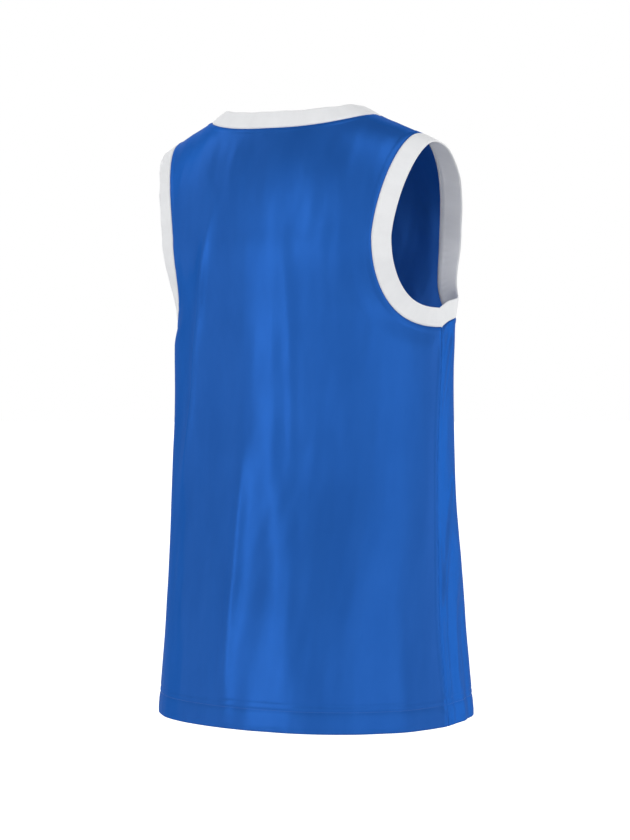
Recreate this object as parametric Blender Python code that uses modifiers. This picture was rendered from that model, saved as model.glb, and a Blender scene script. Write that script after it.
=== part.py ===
"""Basketball jersey: a sleeveless top in its worn shape, hollow, with nobody in it.

The jersey is sewn from a back panel and a front panel of one knit, joined at the
shoulders and down the sides, with a folded band of a second knit round the neck and
round each armhole. The hem is each panel's own edge, turned up and stitched.

Frame: metres, +Z up. The wearer faces -Y and has the left hand at +X. The origin lies
between the two neck points of the shoulder line, where the wearer holds the jersey up.

Every point of the cloth has two flat coordinates: around, the distance along the cloth
from the centre line (positive towards +X), and level, the distance up the cloth from
the shoulder blades. Below the blades level is plain height. Above them lies the crown,
where the panel rounds over to the shoulder line.
"""

from collections import namedtuple
import math

import bpy
import numpy as np

# Sizes of the garment.
BODY_LENGTH = 0.730         # neck point to hem
UNDERARM_DROP = 0.2535      # neck point to the lowest point of the armhole seam
BLADE_DROP = 0.148          # neck point to the level of the shoulder blades
NECK_HALF_WIDTH = 0.1105    # centre line to neck point
SHOULDER_HALF_WIDTH = 0.168  # centre line to the armhole seam on the shoulder line
SHOULDER_DROP = 0.024       # neck point to the armhole seam on the shoulder line
SHOULDER_SHIFT = -0.0065    # how far the shoulder line has run forward at its outer end
SEAM_GAP = 0.0003           # clear space between two pieces that are sewn together
SEAM_STRIP = 0.003          # narrow strip of faces that runs along each sewn edge

# Cloth.
PANEL_WALL = 0.0012
HEM_WALL = 0.0024           # two layers
BAND_WALL = 0.0020          # two layers and the seam allowance inside
BAND_WIDTH = 0.0234
BAND_PROUD = 0.0004         # the band's outer face stands this far above the panel's
BAND_SWELL = 0.0004         # how much the folded band is fuller along its middle
NECK_LEAN = math.radians(4.0)  # how far the neck band stands up at the neck points

# How finely the solids are faceted.
SIDE_ROWS = 11              # rows between the hem's stitching and the underarm
LOWER_ARMHOLE_ROWS = 11
UPPER_ARMHOLE_ROWS = 8
NECK_COLUMNS = 11           # columns of half a panel that end on the neckline
SHOULDER_COLUMNS = 5        # columns of half a panel that end on the shoulder seam
CURVE_STEPS = 240           # samples of a curve before it is divided evenly
FOLD_ARC_STEPS = 4          # facets round the folded edge of a band
BEND_PASSES = 6             # passes that let a band round a corner of its seam
SPREAD_PASSES = 400         # passes that smooth a panel's grid
EDGE_SAMPLES = 60           # samples of each sewn edge, to tell how near it a point is
FOLD_MARGIN = 0.030         # folds fade out within this distance of a sewn edge

# Level cross-sections of the body. The panels meet at seam_y on the widest line.
Section = namedtuple("Section", "drop half_width seam_y back_y front_y")
SECTIONS = (
    Section(BODY_LENGTH, 0.193, -0.028, 0.123, -0.197),
    Section(0.600, 0.183, -0.023, 0.112, -0.190),
    Section(0.420, 0.180, -0.024, 0.075, -0.149),
    Section(UNDERARM_DROP, 0.181, -0.037, 0.074, -0.136),
    Section(BLADE_DROP, 0.2275, -0.057, 0.0885, -0.160),
)

# What differs between the two panels. The powers are those of superellipses: 2 is an
# ellipse and more is squarer. blade_inset draws the ring in at the blades, above the
# underarm. The armhole seam is narrowest at armhole_half and climbs by armhole_lift
# within LIFT_RUN of the side seam. neck_angle says how far down the crown the neckline
# reaches on the centre line.
LIFT_RUN = 0.020
Side = namedtuple("Side", "depth outward ring_power crown_power blade_inset armhole_half "
                          "armhole_power armhole_lift taper_power neck_angle neck_power")
BACK = Side("back_y", -1, 2.17, 2.44, 0.0, 0.1435, 3.0, 0.0, 1.33, math.radians(43), 2.3)
FRONT = Side("front_y", 1, 2.88, 1.75, 0.050, 0.1260, 3.3, 0.010, 1.47, math.radians(68), 2.2)

# How far the armhole bands lean away from the body, in degrees, at each share of the
# way up the seam from the side seam to the shoulder.
BandLean = namedtuple("BandLean", "climb back front")
ARMHOLE_LEANS = (
    BandLean(0.00, -10, -10),
    BandLean(0.18, -4, -10),
    BandLean(0.40, 3, 22),
    BandLean(0.65, 3, 28),
    BandLean(1.00, 0, 0),
)

# Rows of the turned-up hem: height above the edge, relief of the outer face, wall.
HemRow = namedtuple("HemRow", "height relief wall")
HEM_ROWS = (
    HemRow(0.000, 0.0001, HEM_WALL),
    HemRow(0.014, 0.0006, HEM_WALL),
    HemRow(0.026, 0.0004, HEM_WALL),
    HemRow(0.029, -0.0003, HEM_WALL),
    HemRow(0.033, 0.0002, PANEL_WALL),
)

# Soft folds, each a ridge (height above 0) or a trough that runs down a panel from its
# top to its bottom end and fades out there over its last third.
Fold = namedtuple("Fold", "top_around top_level bottom_around bottom_level height half_width")
BACK_FOLDS = (
    Fold(-0.022, 0.080, -0.015, -0.420, 0.0050, 0.026),
    Fold(0.028, -0.180, -0.004, -0.600, 0.0050, 0.020),
    Fold(0.050, -0.190, 0.026, -0.600, -0.0040, 0.016),
    Fold(0.092, -0.260, 0.058, -0.620, -0.0050, 0.020),
    Fold(0.078, 0.050, 0.140, -0.330, 0.0040, 0.017),
    Fold(0.104, 0.060, 0.150, -0.120, -0.0040, 0.012),
    Fold(-0.075, -0.100, -0.090, -0.560, -0.0035, 0.026),
    Fold(-0.140, -0.200, -0.150, -0.620, 0.0035, 0.024),
)
FRONT_FOLDS = (
    Fold(0.035, -0.060, 0.020, -0.520, 0.0050, 0.026),
    Fold(-0.050, -0.100, -0.075, -0.600, -0.0045, 0.022),
    Fold(0.095, -0.120, 0.110, -0.600, -0.0045, 0.022),
    Fold(-0.120, -0.120, -0.130, -0.560, 0.0040, 0.020),
    Fold(0.165, -0.180, 0.180, -0.620, 0.0040, 0.020),
    Fold(-0.205, -0.380, -0.240, -0.640, -0.0040, 0.014),
)

# Finishes: linear colour and roughness.
Finish = namedtuple("Finish", "name colour roughness")
BODY_KNIT = Finish("body_knit", (0.013, 0.105, 0.438, 1.0), 0.45)
TRIM_KNIT = Finish("trim_knit", (0.80, 0.81, 0.82, 1.0), 0.75)


def smooth_step(t):
    """0 below 0, 1 above 1 and an S curve between."""
    t = np.clip(t, 0.0, 1.0)
    return t * t * (3 - 2 * t)


def column(name):
    """One column of the table of sections, as an array from the hem upwards."""
    return np.array([getattr(section, name) for section in SECTIONS])


def smooth_column(name, z):
    """A column at height z: a cubic through its rows that never overshoots them."""
    stations = -column("drop")
    values = column(name)
    spans = np.diff(stations)
    rises = np.diff(values) / spans
    slopes = np.zeros_like(values)
    slopes[0] = rises[0]
    for i in range(1, len(values) - 1):
        if rises[i - 1] * rises[i] > 0:
            low = 2 * spans[i] + spans[i - 1]
            high = spans[i] + 2 * spans[i - 1]
            slopes[i] = (low + high) / (low / rises[i - 1] + high / rises[i])
    z = np.clip(z, stations[0], stations[-1])
    i = np.clip(np.searchsorted(stations, z, side="right") - 1, 0, len(spans) - 1)
    t = (z - stations[i]) / spans[i]
    start = (2 * t**3 - 3 * t**2 + 1) * values[i]
    end = (3 * t**2 - 2 * t**3) * values[i + 1]
    lift = ((t**3 - 2 * t**2 + t) * slopes[i] + (t**3 - t**2) * slopes[i + 1]) * spans[i]
    return start + end + lift


def ring_curve(side, z):
    """x, y and cloth length from the centre line, along half a ring, for each height."""
    turn = np.linspace(0.0, math.pi / 2, CURVE_STEPS)
    seam_y = smooth_column("seam_y", z)[:, None]
    depth = smooth_column(side.depth, z)[:, None] - seam_y
    rise = smooth_step((z + UNDERARM_DROP) / (UNDERARM_DROP - BLADE_DROP))
    half_width = smooth_column("half_width", z) - side.blade_inset * rise
    x = half_width[:, None] * np.sin(turn) ** (2 / side.ring_power)
    y = seam_y + depth * np.cos(turn) ** (2 / side.ring_power)
    steps = np.hypot(np.diff(x), np.diff(y))
    length = np.hstack([np.zeros((len(x), 1)), np.cumsum(steps, axis=1)])
    return x, y, length


def ring_point(side, around, z):
    """x and y of the points that lie `around` along the cloth on their rings at z."""
    x, y, length = ring_curve(side, z)
    reach = np.minimum(np.abs(around), length[:, -1])
    last = np.clip((length < reach[:, None]).sum(axis=1), 1, CURVE_STEPS - 1)
    rows = np.arange(len(reach))
    before = length[rows, last - 1]
    t = (reach - before) / (length[rows, last] - before)
    ring_x = x[rows, last - 1] * (1 - t) + x[rows, last] * t
    ring_y = y[rows, last - 1] * (1 - t) + y[rows, last] * t
    return np.sign(around) * ring_x, ring_y


def half_ring(side, z):
    """Cloth length from the centre line to the side seam at the heights z."""
    return ring_curve(side, np.atleast_1d(z))[2][:, -1]


def shoulder_height(x):
    """Height of the shoulder line: straight outside the neck, a low arch inside it."""
    slope = SHOULDER_DROP / (SHOULDER_HALF_WIDTH - NECK_HALF_WIDTH)
    out = np.abs(x) / NECK_HALF_WIDTH
    arch = slope * NECK_HALF_WIDTH / 2 * (1 - out**2)
    return np.where(out < 1, arch, slope * NECK_HALF_WIDTH * (1 - out))


def crown_curve(side):
    """Angles of the crown, from the blades up, and the cloth length up to each."""
    angle = np.linspace(math.pi / 2, 0.0, CURVE_STEPS)
    depth = abs(getattr(SECTIONS[-1], side.depth))
    height = BLADE_DROP + shoulder_height(0.0)
    y = depth * np.sin(angle) ** (2 / side.crown_power)
    z = height * np.cos(angle) ** (2 / side.crown_power)
    steps = np.hypot(np.diff(y), np.diff(z))
    return angle, np.concatenate([[0.0], np.cumsum(steps)])


def form_point(side, around, level):
    """Points of the body's form at flat coordinates, in an array of any shape."""
    shape = np.shape(around)
    around = np.ravel(around)
    level = np.ravel(level)
    z = np.minimum(level, 0.0) - BLADE_DROP
    x, ring_y = ring_point(side, around, z)
    angles, lengths = crown_curve(side)
    angle = np.interp(level, lengths, angles)
    out = (np.abs(x) - NECK_HALF_WIDTH) / (SHOULDER_HALF_WIDTH - NECK_HALF_WIDTH)
    line_y = SHOULDER_SHIFT * np.maximum(out, 0.0)
    y = line_y + (ring_y - line_y) * np.sin(angle) ** (2 / side.crown_power)
    rise = shoulder_height(x) + BLADE_DROP
    crown = rise * np.maximum(np.cos(angle), 0.0) ** (2 / side.crown_power)
    z = z + np.where(level > 0, crown, 0.0)
    return np.stack([x, y, z], axis=1).reshape(shape + (3,))


def outward_normal(side, around, level, step=0.0002):
    """Unit normals of the form, pointing away from the wearer."""
    along = form_point(side, around + step, level) - form_point(side, around - step, level)
    up = form_point(side, around, level + step) - form_point(side, around, level - step)
    normal = side.outward * np.cross(along, up)
    return normal / np.linalg.norm(normal, axis=-1, keepdims=True)


def fold_relief(folds, around, level):
    """Height of the soft folds above the plain form."""
    relief = np.zeros(np.shape(around))
    for fold in folds:
        t = (fold.top_level - level) / (fold.top_level - fold.bottom_level)
        centre = fold.top_around + (fold.bottom_around - fold.top_around) * t
        fade = smooth_step(3 * t) * smooth_step(3 * (1 - t))
        profile = np.exp(-((around - centre) / fold.half_width) ** 2)
        relief += fold.height * fade * profile
    return relief


def divide(curve, count):
    """Points that divide a flat curve into a count of equal lengths."""
    steps = np.linalg.norm(np.diff(curve, axis=0), axis=1)
    length = np.concatenate([[0.0], np.cumsum(steps)])
    at = np.linspace(0.0, length[-1], count + 1)
    return np.stack([np.interp(at, length, curve[:, i]) for i in (0, 1)], axis=1)


def blade_around(side, x):
    """Distance around the ring at the blades of the points at x."""
    ring_x, _, length = ring_curve(side, np.array([-BLADE_DROP]))
    return np.interp(x, ring_x[0], length[0])


def lower_armhole(side):
    """Armhole seam from the side seam up to the blades, as a flat curve."""
    turn = np.linspace(0.0, math.pi / 2, CURVE_STEPS)
    start = half_ring(side, -UNDERARM_DROP)[0]
    inward = (start - side.armhole_half) * np.sin(turn) ** (2 / side.armhole_power)
    below = (UNDERARM_DROP - BLADE_DROP - side.armhole_lift) * np.cos(turn) ** (2 / side.armhole_power)
    lift = side.armhole_lift * (1 - np.tanh(inward / LIFT_RUN))
    return np.stack([start - inward, -below - lift], axis=1)


def upper_armhole(side):
    """Armhole seam from the blades up to the shoulder line, as a flat curve."""
    angle, level = crown_curve(side)
    rise = np.maximum(np.cos(angle), 0.0) ** (2 * side.taper_power / side.crown_power)
    tip = blade_around(side, SHOULDER_HALF_WIDTH)
    around = side.armhole_half + (tip - side.armhole_half) * rise
    return np.stack([around, np.minimum(level, level[-1] - SEAM_GAP / 2)], axis=1)


def neckline(side):
    """Neck seam from the centre line to the neck point, as a flat curve."""
    turn = np.linspace(0.0, math.pi / 2, CURVE_STEPS)
    x = NECK_HALF_WIDTH * np.sin(turn) ** (2 / side.neck_power)
    angle = side.neck_angle * np.cos(turn) ** (2 / side.neck_power)
    angles, lengths = crown_curve(side)
    level = np.interp(-angle, -angles, lengths)
    return np.stack([blade_around(side, x), np.minimum(level, lengths[-1] - SEAM_GAP / 2)], axis=1)


def panel_edge(side):
    """Flat points up the panel's side: side seam, then armhole, one for each row."""
    hem = BLADE_DROP - BODY_LENGTH
    stitched = hem + np.array([row.height for row in HEM_ROWS])
    levels = np.linspace(stitched[-1], BLADE_DROP - UNDERARM_DROP, SIDE_ROWS + 1)
    levels = np.concatenate([stitched[:-1], levels])
    around = half_ring(side, levels - BLADE_DROP) - SEAM_GAP / 2
    seam = np.stack([around, levels], axis=1)
    lower = divide(lower_armhole(side), LOWER_ARMHOLE_ROWS)
    upper = divide(upper_armhole(side), UPPER_ARMHOLE_ROWS)
    return np.vstack([seam, lower[1:], upper[1:]])


def panel_top(side, tip):
    """Flat points along the neckline and the shoulder seam, one for each column."""
    neck = divide(neckline(side), NECK_COLUMNS)
    shoulder = np.linspace(neck[-1], tip, SHOULDER_COLUMNS + 1)
    return np.vstack([neck, shoulder[1:]])


def spread(grid):
    """Move the inner points of a grid until its lines are smooth and evenly spread.

    Each pass takes every point towards the place where the grid lines through it are
    straight (Winslow's equations). The hem's rows stay, and points on the centre line
    slide along it, so that the lines cross it squarely.
    """
    kept = len(HEM_ROWS) - 1
    for _ in range(SPREAD_PASSES):
        along = (grid[1:-1, 2:] - grid[1:-1, :-2]) / 2
        up = (grid[2:, 1:-1] - grid[:-2, 1:-1]) / 2
        up_size = (up**2).sum(axis=-1, keepdims=True)
        along_size = (along**2).sum(axis=-1, keepdims=True)
        skew = (along * up).sum(axis=-1, keepdims=True)
        twist = (grid[2:, 2:] - grid[2:, :-2] - grid[:-2, 2:] + grid[:-2, :-2]) / 4
        target = (up_size * (grid[1:-1, 2:] + grid[1:-1, :-2])
                  + along_size * (grid[2:, 1:-1] + grid[:-2, 1:-1])
                  - 2 * skew * twist) / (2 * (up_size + along_size))
        grid[1 + kept:-1, 1:-1] += 0.9 * (target - grid[1:-1, 1:-1])[kept:]
        grid[1 + kept:-1, 0, 1] = grid[1 + kept:-1, 1, 1]
    return grid


def add_strip(grid, axis):
    """Insert a row or column a seam strip away from the grid's last one."""
    last = np.take(grid, -1, axis=axis)
    step = np.take(grid, -2, axis=axis) - last
    strip = last + step * SEAM_STRIP / np.linalg.norm(step, axis=-1, keepdims=True)
    return np.insert(grid, grid.shape[axis] - 1, strip, axis=axis)


def panel_flat_grid(side):
    """Flat coordinates of half a panel, [row, column], from the centre line outwards."""
    edge = panel_edge(side)
    top = panel_top(side, edge[-1])
    climb = np.linspace(0.0, 1.0, len(edge))[:, None, None]
    across = np.linspace(0.0, 1.0, len(top))[None, :, None]
    hem_rise = (edge[:, 1] - edge[0, 1]) / (edge[-1, 1] - edge[0, 1])
    centre_level = edge[0, 1] + (top[0, 1] - edge[0, 1]) * hem_rise
    centre_level[:len(HEM_ROWS)] = edge[:len(HEM_ROWS), 1]
    centre = np.stack([np.zeros(len(edge)), centre_level], axis=1)
    ruled = centre[:, None] * (1 - across) + edge[:, None] * across
    lift = np.where(climb > 0.5, 2 * climb - 1, 0.0)
    grid = spread(ruled + lift * (top[None] - ruled[-1:]))
    return add_strip(add_strip(grid, axis=1), axis=0)


def sewn_edge(side):
    """The panel's sewn edge as a dense flat curve: side seam, armhole and neckline."""
    levels = np.linspace(BLADE_DROP - BODY_LENGTH, BLADE_DROP - UNDERARM_DROP, EDGE_SAMPLES)
    seam = np.stack([half_ring(side, levels - BLADE_DROP), levels], axis=1)
    lower = divide(lower_armhole(side), EDGE_SAMPLES)
    upper = divide(upper_armhole(side), EDGE_SAMPLES)
    neck = divide(neckline(side), EDGE_SAMPLES)
    shoulder = np.linspace(neck[-1], upper[-1], EDGE_SAMPLES)
    return np.vstack([seam, lower, upper, neck, shoulder])


def slack(side, around, level):
    """How far the cloth is free to fold: 0 on a sewn edge, 1 a little way in from it."""
    edge = sewn_edge(side)
    place = np.stack([np.abs(around), level], axis=-1)
    nearest = np.linalg.norm(place[..., None, :] - edge, axis=-1).min(axis=-1)
    return smooth_step(nearest / FOLD_MARGIN)


def panel_points(side, folds, around, level):
    """Points of a panel's outer face: the form, its soft folds and the hem's relief."""
    height = level - (BLADE_DROP - BODY_LENGTH)
    rows = np.array([row.height for row in HEM_ROWS] + [2 * HEM_ROWS[-1].height])
    hem = np.interp(height, rows, [row.relief for row in HEM_ROWS] + [0.0])
    relief = fold_relief(folds, around, level) * slack(side, around, level) + hem
    normal = outward_normal(side, around, level)
    return form_point(side, around, level) + normal * relief[..., None]


def whole_panel_grid(side):
    """Flat coordinates of a whole panel, from the side seam at -X to the one at +X."""
    half = panel_flat_grid(side)
    mirrored = half[:, :0:-1] * np.array([-1.0, 1.0])
    return np.concatenate([mirrored, half], axis=1)


def grid_faces(rows, columns, wrap, flip):
    """Quads between the points of a grid; wrap closes it both ways into a tube."""
    row_steps = rows if wrap else rows - 1
    column_steps = columns if wrap else columns - 1
    faces = []
    for r in range(row_steps):
        for c in range(column_steps):
            above = (r + 1) % rows
            beside = (c + 1) % columns
            face = [r * columns + c, r * columns + beside,
                    above * columns + beside, above * columns + c]
            faces.append(face[::-1] if flip else face)
    return faces


def make_object(name, points, faces, material, collection):
    """A smooth-shaded mesh object made of a grid of points."""
    mesh = bpy.data.meshes.new(name)
    mesh.from_pydata(points.reshape(-1, 3).tolist(), [], faces)
    mesh.shade_smooth()
    mesh.materials.append(material)
    obj = bpy.data.objects.new(name, mesh)
    collection.objects.link(obj)
    return obj


def make_panel(name, side, folds, material, collection):
    """A panel: an open surface that Solidify turns into a wall, thicker at the hem."""
    flat = whole_panel_grid(side)
    points = panel_points(side, folds, flat[..., 0], flat[..., 1])
    rows, columns = points.shape[:2]
    faces = grid_faces(rows, columns, wrap=False, flip=side.outward < 0)
    panel = make_object(name, points, faces, material, collection)
    walls = [row.wall for row in HEM_ROWS] + [PANEL_WALL] * (rows - len(HEM_ROWS))
    group = panel.vertex_groups.new(name="wall")
    for row, wall in enumerate(walls):
        group.add(range(row * columns, (row + 1) * columns), wall / HEM_WALL, "REPLACE")
    wall = panel.modifiers.new("Wall", "SOLIDIFY")
    wall.thickness = HEM_WALL
    wall.offset = -1.0
    wall.vertex_group = group.name
    wall.thickness_vertex_group = 0.0
    return flat, points


def band_section():
    """Cross-section of a band: distance from the seam and height above the panel."""
    near = SEAM_GAP
    far = SEAM_GAP + BAND_WIDTH
    radius = BAND_WALL / 2
    middle = BAND_PROUD - radius
    outer = [(near, BAND_PROUD),
             (near + BAND_WIDTH * 0.3, BAND_PROUD + BAND_SWELL),
             (near + BAND_WIDTH * 0.7, BAND_PROUD + BAND_SWELL)]
    turns = [math.pi * (0.5 - i / FOLD_ARC_STEPS) for i in range(FOLD_ARC_STEPS + 1)]
    fold = [(far - radius + radius * math.cos(turn), middle + radius * math.sin(turn))
            for turn in turns]
    inner = [(near + BAND_WIDTH * 0.5, middle - radius), (near, middle - radius)]
    return np.array(outer + fold + inner)


def joined_loop(back, front):
    """A closed loop from two runs whose ends meet two by two, a gap apart."""
    start = (back[0] + front[0]) / 2
    end = (back[-1] + front[-1]) / 2
    return np.vstack([[start], back[1:-1], [end], front[-2:0:-1]])


def smooth_loop(values, passes=2):
    """A closed loop of vectors, each averaged with its neighbours."""
    for _ in range(passes):
        values = (np.roll(values, 1, axis=0) + 2 * values + np.roll(values, -1, axis=0)) / 4
    return values / np.linalg.norm(values, axis=1, keepdims=True)


def make_band(name, seam, normal, lean, material, collection):
    """A band swept round the inside of an opening's seam."""
    along = smooth_loop(np.roll(seam, -1, axis=0) - np.roll(seam, 1, axis=0), passes=0)
    into = np.cross(normal, along)
    towards_middle = ((seam.mean(axis=0) - seam) * into).sum()
    into = smooth_loop(into * math.copysign(1.0, towards_middle), passes=BEND_PASSES)
    across = into * np.cos(lean)[:, None] + normal * np.sin(lean)[:, None]
    out = normal * np.cos(lean)[:, None] - into * np.sin(lean)[:, None]
    section = band_section()
    points = (seam[:, None] + across[:, None] * section[None, :, :1]
              + out[:, None] * section[None, :, 1:])
    faces = grid_faces(len(seam), len(section), wrap=True, flip=towards_middle > 0)
    return make_object(name, points, faces, material, collection)


def seam_run(side, flat, points, rows, columns):
    """Points and normals of the form along some rows and columns of a panel's grid."""
    flat = flat[rows, columns].reshape(-1, 2)
    return points[rows, columns].reshape(-1, 3), outward_normal(side, flat[:, 0], flat[:, 1])


def make_bands(back, front, material, collection):
    """The neck band and the two armhole bands, on the panels' own edge points."""
    shoulder = SHOULDER_COLUMNS + 1
    neck = slice(shoulder, -shoulder)
    underarm = slice(len(HEM_ROWS) + SIDE_ROWS - 1, None)
    runs = {
        "neck_band": (-1, neck),
        "armhole_band_left": (underarm, -1),
        "armhole_band_right": (underarm, 0),
    }
    for name, (rows, columns) in runs.items():
        back_seam, back_normal = seam_run(BACK, *back, rows, columns)
        front_seam, front_normal = seam_run(FRONT, *front, rows, columns)
        seam = joined_loop(back_seam, front_seam)
        normal = smooth_loop(joined_loop(back_normal, front_normal))
        if name == "neck_band":
            lean = NECK_LEAN * (seam[:, 0] / NECK_HALF_WIDTH) ** 2
        else:
            climb = np.linspace(0.0, 1.0, len(back_seam))
            rows = [row.climb for row in ARMHOLE_LEANS]
            back_lean = np.interp(climb, rows, [row.back for row in ARMHOLE_LEANS])
            front_lean = np.interp(climb, rows, [row.front for row in ARMHOLE_LEANS])
            lean = np.radians(np.append(back_lean, front_lean[-2:0:-1]))
        make_band(name, seam, normal, lean, material, collection)


def make_knit(finish):
    """A plain cloth material."""
    material = bpy.data.materials.new(finish.name)
    material.diffuse_color = finish.colour
    material.use_nodes = True
    shader = material.node_tree.nodes["Principled BSDF"]
    shader.inputs["Base Color"].default_value = finish.colour
    shader.inputs["Roughness"].default_value = finish.roughness
    shader.inputs["Metallic"].default_value = 0.0
    return material


def clear_scene():
    """Remove whatever the scene holds."""
    for obj in list(bpy.data.objects):
        bpy.data.objects.remove(obj, do_unlink=True)


def main():
    """Build the jersey in a collection of its own."""
    clear_scene()
    collection = bpy.data.collections.new("basketball_jersey")
    bpy.context.scene.collection.children.link(collection)
    body_knit = make_knit(BODY_KNIT)
    trim_knit = make_knit(TRIM_KNIT)
    back = make_panel("back_panel", BACK, BACK_FOLDS, body_knit, collection)
    front = make_panel("front_panel", FRONT, FRONT_FOLDS, body_knit, collection)
    make_bands(back, front, trim_knit, collection)


main()
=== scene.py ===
"""Basketball jersey: its cloth, its sewing and the light around it.

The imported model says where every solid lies. This script lays thin cloth on the same
worn form: two knitted panels with a turned-up hem, three folded bands, and the seams,
stitches and creases that hold and shape them.

Frame: metres, +Z up. The wearer faces -Y and has the left hand at +X. Every point of
the cloth has two flat coordinates: around, the distance along the cloth from the centre
line (positive towards +X), and level, the distance up the cloth from the shoulder
blades. Below the blades level is plain height.
"""

import logging
import math
from dataclasses import dataclass, field
from enum import Enum

import bpy
import numpy as np
from mathutils import Matrix, Vector


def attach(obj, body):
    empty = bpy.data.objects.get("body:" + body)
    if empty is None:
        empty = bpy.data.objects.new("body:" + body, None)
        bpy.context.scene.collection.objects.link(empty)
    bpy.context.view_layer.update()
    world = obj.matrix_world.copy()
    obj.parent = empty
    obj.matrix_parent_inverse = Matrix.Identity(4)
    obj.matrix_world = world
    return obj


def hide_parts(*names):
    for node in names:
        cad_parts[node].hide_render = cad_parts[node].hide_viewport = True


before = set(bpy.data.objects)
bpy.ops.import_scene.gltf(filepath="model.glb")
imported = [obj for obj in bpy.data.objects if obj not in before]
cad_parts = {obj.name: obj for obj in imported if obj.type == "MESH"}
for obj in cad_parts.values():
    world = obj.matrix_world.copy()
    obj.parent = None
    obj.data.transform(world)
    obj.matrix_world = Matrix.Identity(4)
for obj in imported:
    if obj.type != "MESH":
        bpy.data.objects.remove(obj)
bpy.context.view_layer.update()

LOG = logging.getLogger("jersey")
MM = 0.001
Array = np.ndarray


# ---------------------------------------------------------------- plain geometry


def smooth_step(t: Array) -> Array:
    """0 below 0, 1 above 1 and t^2 (3 - 2t) between."""
    t = np.clip(t, 0.0, 1.0)
    return t * t * (3 - 2 * t)


def bump(distance: Array, half_width: float) -> Array:
    """A soft hump of height 1: exp(-(distance / half width)^2)."""
    return np.exp(-((distance / half_width) ** 2))


def run_along(points: Array, axis: int = 0) -> Array:
    """Cumulative length along a line of points, starting at 0.

    Args:
        points: Points, with the coordinates on the last axis.
        axis: The axis that counts the points of a line.

    Returns:
        The lengths, in the shape of points without its last axis.
    """
    steps = np.linalg.norm(np.diff(points, axis=axis), axis=-1)
    start = np.zeros_like(np.take(steps, [0], axis=axis))
    return np.concatenate([start, np.cumsum(steps, axis=axis)], axis=axis)


def divide(curve: Array, count: int) -> Array:
    """Points that divide a curve into a count of equal lengths.

    Args:
        curve: The curve's points, one a row.
        count: How many equal lengths.

    Returns:
        count + 1 points.
    """
    run = run_along(curve)
    at = np.linspace(0.0, run[-1], count + 1)
    return np.stack([np.interp(at, run, column) for column in curve.T], axis=1)


def rounded(points: Array, steps: int) -> Array:
    """A Catmull-Rom curve through the points of an open line.

    Between points p1 and p2 it is (2 p1 + (p2 - p0) t + (2 p0 - 5 p1 + 4 p2 - p3) t^2
    + (3 p1 - p0 - 3 p2 + p3) t^3) / 2.

    Args:
        points: The line's points, one a row.
        steps: How many steps each span is cut into.

    Returns:
        The curve's points.
    """
    padded = np.vstack([2 * points[0] - points[1], points, 2 * points[-1] - points[-2]])
    p0, p1, p2, p3 = (padded[i:len(padded) - 3 + i, None] for i in range(4))
    t = (np.arange(steps) / steps)[None, :, None]
    curve = (2 * p1 + (p2 - p0) * t + (2 * p0 - 5 * p1 + 4 * p2 - p3) * t**2
             + (3 * p1 - p0 - 3 * p2 + p3) * t**3) / 2
    return np.vstack([curve.reshape(-1, points.shape[1]), points[-1]])


def nearest(points: Array, curve: Array) -> tuple[Array, Array]:
    """How near each point is to a curve, and how far along the curve that is.

    On the segment from a to b the place nearest to p is a + t (b - a), with
    t = (p - a) . (b - a) / |b - a|^2 kept between 0 and 1.

    Args:
        points: The points, one a row.
        curve: The curve's points, one a row.

    Returns:
        The distance of each point, and the curve's length up to its nearest place.
    """
    steps = np.diff(curve, axis=0)
    squares = (steps**2).sum(axis=1)
    offsets = points[:, None] - curve[:-1]
    t = np.clip((offsets * steps).sum(axis=2) / squares, 0.0, 1.0)
    gaps = ((offsets - t[..., None] * steps) ** 2).sum(axis=2)
    best = gaps.argmin(axis=1)
    rows = np.arange(len(points))
    run = run_along(curve)[best] + t[rows, best] * np.sqrt(squares[best])
    return np.sqrt(gaps[rows, best]), run


def unit(vectors: Array) -> Array:
    """Vectors of length 1 in the same directions."""
    return vectors / np.linalg.norm(vectors, axis=-1, keepdims=True)


def soften_loop(values: Array, width: float) -> Array:
    """A closed loop of vectors, blurred by a Gaussian.

    The loop's Fourier terms are multiplied by exp(-(2 pi frequency width)^2 / 2).

    Args:
        values: The loop's vectors, one a row.
        width: The Gaussian's standard deviation, in rows.

    Returns:
        The blurred vectors.
    """
    frequency = np.fft.rfftfreq(len(values))[:, None]
    gain = np.exp(-((2 * math.pi * frequency * width) ** 2) / 2)
    return np.fft.irfft(np.fft.rfft(values, axis=0) * gain, len(values), axis=0)


@dataclass(frozen=True)
class Ripple:
    """A fixed random sum of waves, so that no two creases are alike.

    Attributes:
        shortest: The shortest wave, in metres.
        longest: The longest wave, in metres.
        count: How many waves are added.
        seed: What picks the waves.
    """

    shortest: float
    longest: float
    count: int
    seed: int

    def along(self, run: Array) -> Array:
        """The waves' sum along a line: sin(2 pi run / pitch + phase), over sqrt(count).

        Args:
            run: Distances along the line.

        Returns:
            Values mostly between -1 and 1, in the shape of run.
        """
        rng = np.random.default_rng(self.seed)
        pitch = np.exp(rng.uniform(math.log(self.shortest), math.log(self.longest), self.count))
        phase = rng.uniform(0.0, 2 * math.pi, self.count)
        waves = np.sin(2 * math.pi * run[..., None] / pitch + phase)
        return waves.sum(axis=-1) / math.sqrt(self.count)

    def over(self, across: Array, up: Array, stretch: float) -> Array:
        """The same over a surface, with each wave on its own slant.

        Args:
            across: Distances across the surface.
            up: Distances up it.
            stretch: How many times longer a wave is going up.

        Returns:
            Values mostly between -1 and 1, in the shape of across.
        """
        rng = np.random.default_rng(self.seed)
        total = np.zeros(np.shape(across))
        for _ in range(self.count):
            pitch = math.exp(rng.uniform(math.log(self.shortest), math.log(self.longest)))
            slant = rng.uniform(-1.0, 1.0)
            phase = rng.uniform(0.0, 2 * math.pi)
            way = across + slant * up / stretch
            total += np.sin(2 * math.pi * way / pitch + phase)
        return total / math.sqrt(self.count)


# ---------------------------------------------------------------- the worn form


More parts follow.
